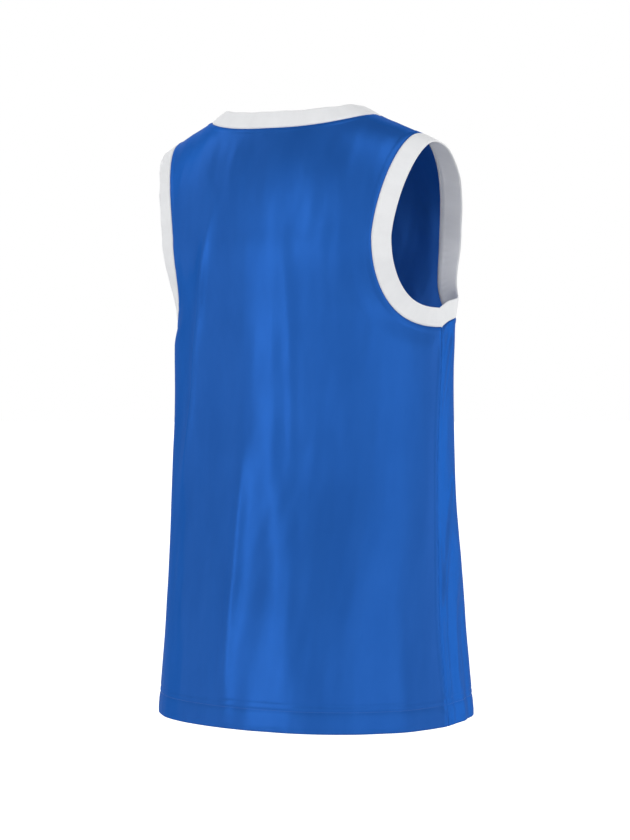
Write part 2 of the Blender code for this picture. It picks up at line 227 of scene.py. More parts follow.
@dataclass(frozen=True)
class Section:
    """A level cross-section of the body; the panels meet at seam_y on its widest line.

    Attributes:
        drop: How far it lies below the neck points.
        half_width: Half its width.
        seam_y: y of the side seams.
        back_y: y of the middle of the back.
        front_y: y of the middle of the front.
    """

    drop: float
    half_width: float
    seam_y: float
    back_y: float
    front_y: float


@dataclass(frozen=True)
class Side:
    """What differs between the back and the front of the form.

    The powers are those of superellipses: 2 is an ellipse and more is squarer.

    Attributes:
        depth: The size of a Section that says where its middle is.
        outward: -1 for the back and 1 for the front, to turn its normals outwards.
        ring_power: Power of its half of a cross-section.
        crown_power: Power of its curve from the blades over to the shoulder line.
        blade_inset: How far its ring is drawn in at the blades.
        armhole_half: How far around its armhole seam is where that is nearest the middle.
        armhole_power: Power of the lower curve of its armhole.
        armhole_lift: How far its armhole seam climbs close to the side seam.
        taper_power: How late its armhole seam bends out to the shoulder point.
        neck_angle: How far down the crown its neckline reaches on the centre line.
        neck_power: Power of its neckline.
    """

    depth: str
    outward: int
    ring_power: float
    crown_power: float
    blade_inset: float
    armhole_half: float
    armhole_power: float
    armhole_lift: float
    taper_power: float
    neck_angle: float
    neck_power: float


BACK = Side("back_y", -1, 2.17, 2.44, 0.0, 0.1435, 3.0, 0.0, 1.33, math.radians(43), 2.3)
FRONT = Side("front_y", 1, 2.88, 1.75, 0.050, 0.1260, 3.3, 0.010, 1.47, math.radians(68), 2.2)


@dataclass(frozen=True)
class WornForm:
    """The body-shaped form that the cloth lies on. Sizes are in metres.

    Attributes:
        body_length: From the neck points down to the hem's lower edge.
        underarm_drop: From the neck points down to the lowest point of the armhole seams.
        blade_drop: From the neck points down to the shoulder blades.
        neck_half_width: Half the distance between the neck points.
        shoulder_half_width: Half the distance between the shoulder points.
        shoulder_drop: How far the shoulder points lie below the neck points.
        shoulder_shift: y of the shoulder points; that of the neck points is 0.
        lift_run: Distance from the side seam over which an armhole's lift fades.
        seam_gap: Width of the slit between two panels along a seam.
        samples: How many points a curve is worked out at.
        sections: The cross-sections, from the hem up to the blades.
    """

    body_length: float = 0.730
    underarm_drop: float = 0.2535
    blade_drop: float = 0.148
    neck_half_width: float = 0.1105
    shoulder_half_width: float = 0.168
    shoulder_drop: float = 0.024
    shoulder_shift: float = -0.0065
    lift_run: float = 0.020
    seam_gap: float = 0.0003
    samples: int = 160
    sections: tuple[Section, ...] = (
        Section(0.730, 0.193, -0.028, 0.123, -0.197),
        Section(0.600, 0.183, -0.023, 0.112, -0.190),
        Section(0.420, 0.180, -0.024, 0.075, -0.149),
        Section(0.2535, 0.181, -0.037, 0.074, -0.136),
        Section(0.148, 0.2275, -0.057, 0.0885, -0.160),
    )

    @property
    def hem_level(self) -> float:
        """Level of the hem's lower edge."""
        return self.blade_drop - self.body_length

    @property
    def underarm_level(self) -> float:
        """Level of the lowest point of the armhole seams."""
        return self.blade_drop - self.underarm_drop

    def turns(self) -> Array:
        """Angles from 0 to a right angle, crowded at both ends."""
        return smooth_step(np.linspace(0.0, 1.0, self.samples)) * math.pi / 2

    def column(self, name: str, z: Array) -> Array:
        """One size of the cross-sections at heights z.

        Between two rows it is the cubic with the slopes of a monotone spline, so it
        never overshoots them.

        Args:
            name: The size's name in Section.
            z: The heights.

        Returns:
            The size at each height.
        """
        stations = -np.array([section.drop for section in self.sections])
        values = np.array([getattr(section, name) for section in self.sections])
        spans = np.diff(stations)
        rises = np.diff(values) / spans
        low = 2 * spans[1:] + spans[:-1]
        high = spans[1:] + 2 * spans[:-1]
        same_way = rises[:-1] * rises[1:] > 0
        before, after = (np.where(same_way, rise, 1.0) for rise in (rises[:-1], rises[1:]))
        inner = np.where(same_way, (low + high) / (low / before + high / after), 0.0)
        slopes = np.concatenate([rises[:1], inner, [0.0]])
        z = np.clip(z, stations[0], stations[-1])
        i = np.clip(np.searchsorted(stations, z, side="right") - 1, 0, len(spans) - 1)
        t = (z - stations[i]) / spans[i]
        ends = (2 * t**3 - 3 * t**2 + 1) * values[i] + (3 * t**2 - 2 * t**3) * values[i + 1]
        lift = (t**3 - 2 * t**2 + t) * slopes[i] + (t**3 - t**2) * slopes[i + 1]
        return ends + lift * spans[i]

    def ring(self, side: Side, turn: Array, z: Array) -> tuple[Array, Array]:
        """x and y on a half ring: half width sin(turn)^(2/n), depth cos(turn)^(2/n).

        Args:
            side: Back or front.
            turn: Angles from the centre line (0) to the side seam (a right angle).
            z: Heights, in a shape that goes with that of turn.

        Returns:
            x and y.
        """
        rise = smooth_step((z + self.underarm_drop) / (self.underarm_drop - self.blade_drop))
        half_width = self.column("half_width", z) - side.blade_inset * rise
        seam_y = self.column("seam_y", z)
        depth = self.column(side.depth, z) - seam_y
        x = half_width * np.sin(turn) ** (2 / side.ring_power)
        y = seam_y + depth * np.maximum(np.cos(turn), 0.0) ** (2 / side.ring_power)
        return x, y

    def ring_runs(self, side: Side, z: Array) -> Array:
        """Cloth length from the centre line up to each of the ring's turns, a row a z."""
        x, y = self.ring(side, self.turns()[None], z[:, None])
        return run_along(np.stack([x, y], axis=-1), axis=1)

    def ring_turn(self, side: Side, around: Array, z: Array) -> Array:
        """The turn at which the cloth length from the centre line is |around|.

        Args:
            side: Back or front.
            around: Distances from the centre line.
            z: The height of each.

        Returns:
            The turns, by straight interpolation.
        """
        runs, turns = self.ring_runs(side, z), self.turns()
        reach = np.minimum(np.abs(around), runs[:, -1])
        last = np.clip((runs < reach[:, None]).sum(axis=1), 1, self.samples - 1)
        rows = np.arange(len(reach))
        before = runs[rows, last - 1]
        t = (reach - before) / (runs[rows, last] - before)
        return turns[last - 1] * (1 - t) + turns[last] * t

    def half_ring(self, side: Side, level: Array) -> Array:
        """Cloth length from the centre line to the side seam at each level."""
        return self.ring_runs(side, np.atleast_1d(level) - self.blade_drop)[:, -1]

    def shoulder_height(self, x: Array) -> Array:
        """Height of the shoulder line: straight outside the neck, a low arch inside.

        Args:
            x: Places across the body.

        Returns:
            Heights above the neck points.
        """
        slope = self.shoulder_drop / (self.shoulder_half_width - self.neck_half_width)
        out = np.abs(x) / self.neck_half_width
        reach = slope * self.neck_half_width
        return np.where(out < 1, reach / 2 * (1 - out**2), reach * (1 - out))

    def crown(self, side: Side) -> tuple[Array, Array]:
        """Angles of the crown from the blades up, and the cloth length up to each.

        Args:
            side: Back or front.

        Returns:
            Angles from a right angle at the blades to 0 on the shoulder line, and the lengths.
        """
        angle = self.turns()[::-1]
        depth = abs(getattr(self.sections[-1], side.depth))
        height = self.blade_drop + float(self.shoulder_height(np.zeros(1))[0])
        y = depth * np.sin(angle) ** (2 / side.crown_power)
        z = height * np.maximum(np.cos(angle), 0.0) ** (2 / side.crown_power)
        return angle, run_along(np.stack([y, z], axis=1))

    def point(self, side: Side, around: Array, level: Array) -> Array:
        """Points of the form at flat coordinates.

        Below the blades a point lies on its ring. Above them its ring at the blades is
        drawn towards the shoulder line by y sin(angle)^(2/m), z cos(angle)^(2/m).

        Args:
            side: Back or front.
            around: Distances from the centre line, in an array of any shape.
            level: Levels, in an array of the same shape.

        Returns:
            The points, with one more axis for x, y and z.
        """
        shape = np.shape(around)
        around, level = np.ravel(around), np.ravel(level)
        z = np.minimum(level, 0.0) - self.blade_drop
        x, ring_y = self.ring(side, self.ring_turn(side, around, z), z)
        x = np.where(around < 0, -x, x)
        angles, runs = self.crown(side)
        angle = np.interp(level, runs, angles)
        width = self.shoulder_half_width - self.neck_half_width
        line_y = self.shoulder_shift * np.maximum((np.abs(x) - self.neck_half_width) / width, 0.0)
        y = line_y + (ring_y - line_y) * np.sin(angle) ** (2 / side.crown_power)
        rise = self.shoulder_height(x) + self.blade_drop
        crown = rise * np.maximum(np.cos(angle), 0.0) ** (2 / side.crown_power)
        return np.stack([x, y, z + np.where(level > 0, crown, 0.0)], axis=1).reshape(shape + (3,))

    def normal(self, side: Side, around: Array, level: Array, step: float = 0.4 * MM) -> Array:
        """Unit normals of the form that point away from the wearer, by differences.

        Args:
            side: Back or front.
            around: Distances from the centre line.
            level: Levels, in the same shape.
            step: How far to each side the form is read.

        Returns:
            The normals, with one more axis for x, y and z.
        """
        along = self.point(side, around + step, level) - self.point(side, around - step, level)
        up = self.point(side, around, level + step) - self.point(side, around, level - step)
        return unit(side.outward * np.cross(along, up))

    def blade_around(self, side: Side, x: Array) -> Array:
        """Distance around the ring at the blades of the points at x.

        Args:
            side: Back or front.
            x: Places across the body, from 0 up.

        Returns:
            The distances from the centre line.
        """
        z = np.array([-self.blade_drop])
        ring_x, _ = self.ring(side, self.turns(), z)
        return np.interp(x, ring_x, self.ring_runs(side, z)[0])

    def top_level(self, side: Side) -> float:
        """Level of the shoulder seam, half a seam gap below the shoulder line."""
        return self.crown(side)[1][-1] - self.seam_gap / 2

    def lower_armhole(self, side: Side) -> Array:
        """Armhole seam from the side seam up to the blades, as a flat curve.

        It is a quarter superellipse whose start is lowered by lift tanh(inward / run).

        Args:
            side: Back or front.

        Returns:
            Flat points, one a row.
        """
        turn = np.linspace(0.0, math.pi / 2, self.samples)
        start = self.half_ring(side, np.array([self.underarm_level]))[0]
        inward = (start - side.armhole_half) * np.sin(turn) ** (2 / side.armhole_power)
        height = -self.underarm_level - side.armhole_lift
        below = height * np.maximum(np.cos(turn), 0.0) ** (2 / side.armhole_power)
        lift = side.armhole_lift * (1 - np.tanh(inward / self.lift_run))
        return np.stack([start - inward, -below - lift], axis=1)

    def upper_armhole(self, side: Side) -> Array:
        """Armhole seam from the blades up to the shoulder line, as a flat curve.

        Args:
            side: Back or front.

        Returns:
            Flat points, one a row.
        """
        angle, level = self.crown(side)
        rise = np.maximum(np.cos(angle), 0.0) ** (2 * side.taper_power / side.crown_power)
        tip = self.blade_around(side, self.shoulder_half_width)
        around = side.armhole_half + (tip - side.armhole_half) * rise
        return np.stack([around, np.minimum(level, self.top_level(side))], axis=1)

    def neckline(self, side: Side) -> Array:
        """Neck seam from the centre line to the neck point, as a flat curve.

        Args:
            side: Back or front.

        Returns:
            Flat points, one a row.
        """
        turn = np.linspace(0.0, math.pi / 2, self.samples)
        x = self.neck_half_width * np.sin(turn) ** (2 / side.neck_power)
        angle = side.neck_angle * np.maximum(np.cos(turn), 0.0) ** (2 / side.neck_power)
        angles, runs = self.crown(side)
        level = np.interp(-angle, -angles, runs)
        around = self.blade_around(side, x)
        return np.stack([around, np.minimum(level, self.top_level(side))], axis=1)


FORM = WornForm()


# ---------------------------------------------------------------- meshes


class Facing(Enum):
    """Which way round the faces of a grid are listed."""

    FORWARD = 1
    BACKWARD = -1


def new_object(name: str, data: bpy.types.ID) -> bpy.types.Object:
    """An object with that data, linked to the scene.

    Args:
        name: The object's name.
        data: Its mesh, light or camera.

    Returns:
        The object, at the origin.
    """
    obj = bpy.data.objects.new(name, data)
    bpy.context.scene.collection.objects.link(obj)
    return obj


def grid_object(name: str, points: Array, uv: Array, wrap: bool, facing: Facing) -> bpy.types.Object:
    """A smooth-shaded mesh object made of a grid of points.

    Args:
        name: The object's name.
        points: The grid's points, [row, column, xyz].
        uv: The UV map in metres, [row, column, 2]; one more column where wrap is true.
        wrap: Whether the last column is joined to the first.
        facing: Which way round the faces are listed.

    Returns:
        The object.
    """
    rows, columns = points.shape[:2]
    spans = columns if wrap else columns - 1
    row, column = np.meshgrid(np.arange(rows - 1), np.arange(spans), indexing="ij")
    beside = (column + 1) % columns
    corners = [(row, column, column), (row, beside, column + 1),
               (row + 1, beside, column + 1), (row + 1, column, column)]
    corners = corners[::facing.value]
    loops = np.stack([r * columns + c for r, c, _ in corners], axis=-1).reshape(-1)
    places = np.stack([uv[r, c] for r, _, c in corners], axis=-2).reshape(-1)
    faces = (rows - 1) * spans
    mesh = bpy.data.meshes.new(name)
    mesh.vertices.add(rows * columns)
    mesh.vertices.foreach_set("co", points.astype(np.float32).reshape(-1))
    mesh.loops.add(faces * 4)
    mesh.loops.foreach_set("vertex_index", loops.astype(np.int32))
    mesh.polygons.add(faces)
    mesh.polygons.foreach_set("loop_start", np.arange(0, faces * 4, 4, dtype=np.int32))
    mesh.uv_layers.new(name="cloth").data.foreach_set("uv", places.astype(np.float32))
    mesh.update(calc_edges=True)
    mesh.validate()
    mesh.shade_smooth()
    return new_object(name, mesh)


def thicken(obj: bpy.types.Object, thickness: float, offset: float) -> None:
    """Give an open cloth surface its thickness.

    Args:
        obj: The surface.
        thickness: The cloth's thickness.
        offset: -1 to lay it all behind the surface, and 0 to lay half on each side.
    """
    wall = obj.modifiers.new("Cloth thickness", "SOLIDIFY")
    wall.thickness = thickness
    wall.offset = offset


def tube_object(name: str, lines: list[Array], radius: float, sides: int = 5) -> bpy.types.Object:
    """Threads: open round tubes along lines, joined into one object.

    A tube's cross-sections stand square to its line, between two normals that are as
    level as the line allows.

    Args:
        name: The object's name.
        lines: The middle line of each thread, points one a row.
        radius: The thread's radius.
        sides: How many sides the thread has.

    Returns:
        The object.
    """
    angle = np.linspace(0.0, 2 * math.pi, sides, endpoint=False)
    parts = []
    for line in lines:
        along = unit(np.gradient(line, axis=0))
        helper = np.where(np.abs(along[:, 2:]) < 0.9, [[0.0, 0.0, 1.0]], [[1.0, 0.0, 0.0]])
        first = unit(np.cross(along, helper))
        second = np.cross(along, first)
        ring = (first[:, None] * np.cos(angle)[:, None] + second[:, None] * np.sin(angle)[:, None])
        points = line[:, None] + radius * ring
        run = run_along(line)
        grid = np.stack(np.broadcast_arrays(
            run[:, None], np.linspace(0.0, 2 * math.pi * radius, sides + 1)[None]), axis=-1)
        parts.append(grid_object(name, points, grid, wrap=True, facing=Facing.FORWARD))
    whole = parts[0]
    if len(parts) > 1:
        with bpy.context.temp_override(active_object=whole, selected_editable_objects=parts):
            bpy.ops.object.join()
    whole.name = name
    return whole


# ---------------------------------------------------------------- finishes


def srgb(code: str) -> tuple[float, float, float, float]:
    """The linear colour of an sRGB hex value such as "#1c5aa9".

    Args:
        code: The hex value.

    Returns:
        Red, green, blue and an alpha of 1.
    """
    values = [int(code[i:i + 2], 16) / 255 for i in (1, 3, 5)]
    linear = [v / 12.92 if v <= 0.04045 else ((v + 0.055) / 1.055) ** 2.4 for v in values]
    return (*linear, 1.0)


def add_node(tree: bpy.types.NodeTree, kind: str, links: dict | None = None,
             **settings: object) -> bpy.types.Node:
    """Add a node with its settings, socket values and links.

    Args:
        tree: The node tree.
        kind: The node's type.
        links: For each input socket, a value or the output socket that feeds it.
        settings: Attributes of the node itself.

    Returns:
        The node.
    """
    node = tree.nodes.new(kind)
    for key, value in settings.items():
        setattr(node, key, value)
    for socket, value in (links or {}).items():
        if isinstance(value, bpy.types.NodeSocket):
            tree.links.new(value, node.inputs[socket])
        else:
            node.inputs[socket].default_value = value
    return node


def new_material(name: str, values: dict[str, object]) -> tuple[
        bpy.types.Material, bpy.types.NodeTree, bpy.types.Node]:
    """A node material whose shader has the given values.

    Args:
        name: The material's name.
        values: The values of the shader's sockets.

    Returns:
        The material, its node tree and its shader.
    """
    material = bpy.data.materials.new(name)
    material.use_nodes = True
    shader = material.node_tree.nodes["Principled BSDF"]
    for socket, value in values.items():
        shader.inputs[socket].default_value = value
    return material, material.node_tree, shader


@dataclass(frozen=True)
class Knit:
    """A weft-knitted cloth. Wales are its upright ribs and courses its rows of loops.

    Attributes:
        name: The material's name.
        colour: sRGB hex of the yarn.
        shade: sRGB hex of the yarn where the cloth is a little darker.
        roughness: Roughness of the yarn's shine.
        specular: Strength of the yarn's shine.
        sheen: Strength of the soft light at grazing angles.
        satin: Share of the shine that keeps the yarn's own colour, as from filaments
            that the light passes through and back, set as a small metallic value. All
            the shine falls off where the loops are seen from the side and hide one another.
        satin_edge: sRGB hex of that shine at grazing angles.
        wale: Width of a wale, in millimetres.
        course: Height of a course, in millimetres.
        relief: Depth of the loops, in millimetres.
        loop_slant: How far a loop's legs slant, as a share of a course.
        upright: Whether the wales run along V of the UV map, and else along U.
        patch: Size of the uneven patches in the colour, in millimetres.
        patch_rate: How fast the patches change going up, against going across.
        patch_range: The noise values that show the shade and the colour in full.
        sheen_roughness: Roughness of the soft light at grazing angles.
        ior: Refractive index of polyester.
        satin_fade: Facing values between which the satin falls to its least.
        satin_least: The satin's least share of its full strength.
        shine_fade: Facing values between which the rest of the shine falls to nothing.
    """

    name: str
    colour: str
    shade: str
    roughness: float
    specular: float
    sheen: float
    satin: float
    satin_edge: str
    wale: float
    course: float
    relief: float
    loop_slant: float
    upright: bool
    patch: float
    patch_rate: float = 0.3
    patch_range: tuple[float, float] = (0.3, 0.7)
    sheen_roughness: float = 0.45
    ior: float = 1.53
    satin_fade: tuple[float, float] = (0.35, 0.80)
    satin_least: float = 0.5
    shine_fade: tuple[float, float] = (0.20, 0.50)

    def build(self) -> bpy.types.Material:
        """Make the material.

        Returns:
            The material.
        """
        material, tree, shader = new_material(self.name, {
            "Roughness": self.roughness, "Specular IOR Level": self.specular,
            "Specular Tint": srgb(self.satin_edge), "IOR": self.ior,
            "Sheen Weight": self.sheen, "Sheen Roughness": self.sheen_roughness})
        if self.satin:
            facing = add_node(tree, "ShaderNodeLayerWeight").outputs["Facing"]
            fades = (("Metallic", self.satin, self.satin_least * self.satin, self.satin_fade),
                     ("Specular IOR Level", self.specular, 0.0, self.shine_fade))
            for socket, full, least, (start, end) in fades:
                shine = add_node(tree, "ShaderNodeMapRange", {
                    "Value": facing, "From Min": start, "From Max": end,
                    "To Min": full, "To Max": least})
                tree.links.new(shine.outputs["Result"], shader.inputs[socket])
        uv = add_node(tree, "ShaderNodeUVMap", uv_map="cloth")
        tree.links.new(self.colour_nodes(tree, uv), shader.inputs["Base Color"])
        height = self.loop_nodes(tree, uv)
        relief = add_node(tree, "ShaderNodeBump", {"Height": height, "Strength": 1.0,
                                                   "Distance": self.relief * MM})
        tree.links.new(relief.outputs["Normal"], shader.inputs["Normal"])
        return material

    def colour_nodes(self, tree: bpy.types.NodeTree, uv: bpy.types.Node) -> bpy.types.NodeSocket:
        """Soft upright patches, as yarn tension leaves them, between two near colours.

        Args:
            tree: The node tree.
            uv: The node that reads the piece's UV map.

        Returns:
            The socket with the colour.
        """
        stretch = (1 / (self.patch * MM), self.patch_rate / (self.patch * MM), 1.0)
        placed = add_node(tree, "ShaderNodeMapping",
                          {"Vector": uv.outputs["UV"], "Scale": stretch})
        noise = add_node(tree, "ShaderNodeTexNoise",
                         {"Vector": placed.outputs["Vector"], "Scale": 1.0, "Detail": 4.0,
                          "Roughness": 0.6})
        ramp = add_node(tree, "ShaderNodeValToRGB", {"Fac": noise.outputs["Fac"]})
        stops = zip(ramp.color_ramp.elements, self.patch_range, (self.shade, self.colour))
        for stop, position, colour in stops:
            stop.position, stop.color = position, srgb(colour)
        return ramp.outputs["Color"]

    def loop_nodes(self, tree: bpy.types.NodeTree, uv: bpy.types.Node) -> bpy.types.NodeSocket:
        """Height of the knitted loops, from 0 to 1.

        With a across and b up the cloth, counted in wales and courses, the height is
        |sin(pi a)| (1 + cos(2 pi (b + slant |2 frac(a) - 1|))) / 2.

        Args:
            tree: The node tree.
            uv: The node that reads the piece's UV map.

        Returns:
            The socket with the height.
        """
        parts = add_node(tree, "ShaderNodeSeparateXYZ", {0: uv.outputs["UV"]})
        across, up = parts.outputs["X"], parts.outputs["Y"]
        if not self.upright:
            across, up = up, across

        def sum_node(operation: str, *values: object) -> bpy.types.NodeSocket:
            """The result of one sum."""
            inputs = dict(enumerate(values))
            return add_node(tree, "ShaderNodeMath", inputs, operation=operation).outputs[0]

        a = sum_node("MULTIPLY", across, 1 / (self.wale * MM))
        b = sum_node("MULTIPLY", up, 1 / (self.course * MM))
        within = sum_node("FRACT", a)
        slant = sum_node("ABSOLUTE", sum_node("MULTIPLY_ADD", within, 2.0, -1.0))
        phase = sum_node("MULTIPLY_ADD", slant, self.loop_slant, b)
        loops = sum_node("MULTIPLY_ADD", sum_node("COSINE", sum_node(
            "MULTIPLY", phase, 2 * math.pi)), 0.5, 0.5)
        rib = sum_node("SINE", sum_node("MULTIPLY", within, math.pi))
        return sum_node("MULTIPLY", rib, loops)


@dataclass(frozen=True)
class Thread:
    """Spun polyester sewing thread, whose two plies twist round each other.

    Attributes:
        name: The material's name.
        colour: sRGB hex of the thread.
        roughness: Roughness of its shine.
        sheen: Strength of the soft light that its loose fibres give.
        twist: Length of one turn of the twist, in millimetres.
        slant: Slant of the plies, in degrees.
        groove: Depth of the groove between the plies, in millimetres.
    """

    name: str
    colour: str
    roughness: float = 0.55
    sheen: float = 0.2
    twist: float = 0.9
    slant: float = 35.0
    groove: float = 0.05

    def build(self) -> bpy.types.Material:
        """Make the material: slanted bands along the thread's own UV map.

        A wave texture's bands lie 2 pi / (20 scale) apart, close to one turn here.

        Returns:
            The material.
        """
        material, tree, shader = new_material(self.name, {
            "Base Color": srgb(self.colour), "Roughness": self.roughness,
            "Sheen Weight": self.sheen})
        uv = add_node(tree, "ShaderNodeUVMap", uv_map="cloth")
        placed = add_node(tree, "ShaderNodeMapping", {
            "Vector": uv.outputs["UV"], "Rotation": (0.0, 0.0, math.radians(self.slant))})
        plies = add_node(tree, "ShaderNodeTexWave", {
            "Vector": placed.outputs["Vector"], "Scale": 1 / (math.pi * self.twist * MM)})
        relief = add_node(tree, "ShaderNodeBump", {
            "Height": plies.outputs["Fac"], "Distance": self.groove * MM})
        tree.links.new(relief.outputs["Normal"], shader.inputs["Normal"])
        return material


@dataclass(frozen=True)
class Finishes:
    """The jersey's finishes.

    The real knits have about 1.4 loops a millimetre, too fine to show, so their loops
    are drawn 1.6 and 1.8 mm wide.
    """

    # Interlock of bright flat filaments, dyed in the piece: a smooth face with a soft
    # satin gleam of its own blue where a fold turns to the light.
    body: Knit = Knit("body_polyester_interlock_knit", "#2157a6", "#1d529f", 0.34, 0.09, 0.0,
                      0.42, "#b8c6e4", 1.6, 1.3, 0.05, 0.5, True, 30.0)
    # Flat knit of textured white yarn: matt and bright, with fine ridges along the band.
    trim: Knit = Knit("trim_polyester_flat_knit", "#dcdddf", "#d7d8da", 0.75, 0.15, 0.05,
                      0.0, "#ffffff", 1.8, 1.5, 0.10, 0.4, False, 18.0)
    # Spun thread, dull and a little hairy, in the colour of the cloth that it sews.
    body_thread: Thread = Thread("blue_polyester_thread", "#1b549e")
    trim_thread: Thread = Thread("white_polyester_thread", "#dcdcdc")


# ---------------------------------------------------------------- panels


@dataclass(frozen=True)
class Fold:
    """A soft ridge or trough that runs down a panel.

    Attributes:
        top_around: Where its top end is around the panel.
        top_level: Level of its top end.
        bottom_around: Where its bottom end is around the panel.
        bottom_level: Level of its bottom end.
        height: Height of a ridge, or less than 0 for a trough.
        half_width: Distance from its crest over which it falls to 1/e.
        bow: How far its middle bows towards larger `around`.
        fade: Share of its length over which each end fades out.
        skew: How many times wider its flank towards smaller `around` is.
    """

    top_around: float
    top_level: float
    bottom_around: float
    bottom_level: float
    height: float
    half_width: float
    bow: float = 0.0
    fade: float = 1 / 3
    skew: float = 1.0

    def relief(self, around: Array, level: Array) -> Array:
        """Height of the fold above the plain form: height ends bump(off / half width).

        Args:
            around: Distances from the centre line.
            level: Levels, in the same shape.

        Returns:
            The height at each point.
        """
        t = (self.top_level - level) / (self.top_level - self.bottom_level)
        centre = self.top_around + (self.bottom_around - self.top_around) * t
        centre = centre + 4 * self.bow * t * (1 - t)
        ends = smooth_step(t / self.fade) * smooth_step((1 - t) / self.fade)
        off = around - centre
        return self.height * ends * bump(off, np.where(off < 0, self.skew, 1.0) * self.half_width)


BACK_FOLDS = (
    # Two broad swells that ease the cloth over the small of the back.
    Fold(0.000, 0.020, 0.000, -0.240, 0.0080, 0.200, 0.0, 0.50),
    Fold(0.000, -0.170, 0.000, -0.435, 0.0080, 0.200, 0.0, 0.50),
    # Soft folds that hang from the shoulder blades and spread towards the hem.
    Fold(0.000, 0.120, 0.012, -0.420, 0.0070, 0.042),
    Fold(-0.044, -0.260, -0.096, -0.720, 0.0042, 0.038, 0.0, 0.30, 1.4),
    Fold(0.023, -0.210, 0.027, -0.640, 0.0028, 0.014, 0.0, 0.28),
    Fold(0.064, 0.070, 0.142, -0.345, 0.0030, 0.012, 0.003),
    Fold(0.094, 0.070, 0.164, -0.330, -0.0016, 0.016, 0.003),
    Fold(-0.012, -0.400, -0.018, -0.800, 0.0030, 0.028, 0.0, 0.25),
    Fold(-0.075, -0.100, -0.090, -0.560, -0.0030, 0.030),
    Fold(-0.140, -0.060, -0.172, -0.420, 0.0010, 0.024),
)
FRONT_FOLDS = (
    Fold(0.035, -0.060, 0.020, -0.520, 0.0050, 0.026),
    Fold(-0.050, -0.100, -0.075, -0.600, -0.0045, 0.022),
    Fold(0.095, -0.120, 0.110, -0.600, -0.0045, 0.022),
    Fold(-0.120, -0.120, -0.130, -0.560, 0.0040, 0.020),
    Fold(0.165, -0.180, 0.180, -0.620, 0.0040, 0.020),
    Fold(-0.205, -0.380, -0.240, -0.640, -0.0040, 0.014),
)
BACK_CREASES = (
    Fold(0.024, -0.220, 0.028, -0.600, 0.0020, 0.0080, 0.0, 0.3),
    Fold(-0.046, -0.320, -0.062, -0.540, 0.0004, 0.0080, 0.0, 0.25),
    Fold(-0.018, 0.000, -0.015, -0.330, 0.0004, 0.0070),
    Fold(0.061, 0.080, 0.138, -0.335, 0.0017, 0.0050, 0.003, 0.35),
    Fold(-0.038, 0.040, -0.040, -0.330, 0.0008, 0.0060),
)
FRONT_CREASES = (
    Fold(-0.198, -0.030, -0.254, -0.210, 0.0026, 0.0042, 0.0, 0.15),
    Fold(-0.202, -0.090, -0.270, -0.330, 0.0030, 0.0048, -0.004, 0.15),
    Fold(-0.196, -0.270, -0.300, -0.480, 0.0034, 0.0052, -0.004, 0.15),
    Fold(-0.222, -0.420, -0.248, -0.560, -0.0026, 0.0070),
    Fold(-0.246, -0.230, -0.292, -0.620, 0.0026, 0.0042, -0.004, 0.15),
    Fold(0.150, -0.050, 0.090, -0.260, -0.0012, 0.009, 0.006),
    Fold(-0.150, -0.060, -0.100, -0.280, -0.0012, 0.009, -0.006),
    Fold(0.012, -0.100, 0.020, -0.420, 0.0010, 0.010),
)


@dataclass(frozen=True)
class Hem:
    """A hem turned up inside and stitched with a twin needle.

    Attributes:
        depth: From the fold up to the raw edge.
        lower_needle: Height of the lower needle line above the fold.
        upper_needle: Height of the upper needle line.
        ply_gap: Distance between the outer faces of its two plies.
        puff: How far the cloth puffs out between the fold and the lower needle line.
        puff_run: Distance over which the puff rises and falls.
        groove: Depth of the groove that a needle line draws.
        groove_width: Distance from a needle line over which its groove falls to 1/e.
        clearance: How far the outside rows go past the raw edge.
        inside_rows: Rows of the grid on the inner ply.
        fold_rows: Spans of the grid round the fold.
        outside_rows: Rows of the grid on the outer ply.
        stitch: Length of a stitch.
        stitch_points: Points of a thread for each stitch.
        stitch_end: How far from the side seam the stitching stops.
        thread_radius: Radius of the thread.
        lift: Height of a needle thread's middle line above the cloth.
        dip: How far it dips into the cloth at a hole.
        hole_width: Distance from a hole over which the dip falls to 1/e.
        looper_reach: How far the looper thread swings past the needle lines.
        looper_sink: How far the looper thread lies inside the inner ply's face.
    """

    depth: float = 0.036
    lower_needle: float = 0.0257
    upper_needle: float = 0.0332
    ply_gap: float = 2.2 * MM
    puff: float = 0.5 * MM
    puff_run: float = 8 * MM
    groove: float = 0.7 * MM
    groove_width: float = 0.9 * MM
    clearance: float = 2 * MM
    inside_rows: int = 12
    fold_rows: int = 6
    outside_rows: int = 22
    stitch: float = 3.0 * MM
    stitch_points: int = 8
    stitch_end: float = 2 * MM
    thread_radius: float = 0.19 * MM
    lift: float = 0.10 * MM
    dip: float = 0.75 * MM
    hole_width: float = 0.45 * MM
    looper_reach: float = 0.8 * MM
    looper_sink: float = 0.25 * MM

    def rows(self) -> tuple[Array, Array]:
        """Height and inward sink of each row, from the raw edge inside to the outside.

        Returns:
            The heights above the fold, and the sinks.
        """
        radius = self.ply_gap / 2
        inside = np.linspace(self.depth, radius, self.inside_rows)
        turn = np.linspace(math.pi, 0.0, self.fold_rows + 1)[1:-1]
        outside = np.linspace(radius, self.depth + self.clearance, self.outside_rows)
        height = np.concatenate([inside, radius * (1 - np.sin(turn)), outside])
        sink = np.concatenate([np.full(len(inside), self.ply_gap), radius * (1 - np.cos(turn)),
                               np.zeros(len(outside))])
        return height, sink

    def relief(self, height: Array) -> Array:
        """Relief of the outer face: a soft puff with a groove along each needle line.

        Args:
            height: Heights above the fold.

        Returns:
            The relief at each height.
        """
        rise = smooth_step(height / self.puff_run)
        fall = smooth_step((self.lower_needle - height) / self.puff_run)
        lines = bump(height - self.lower_needle, self.groove_width)
        lines += bump(height - self.upper_needle, self.groove_width)
        return self.puff * (rise * fall) - self.groove * lines


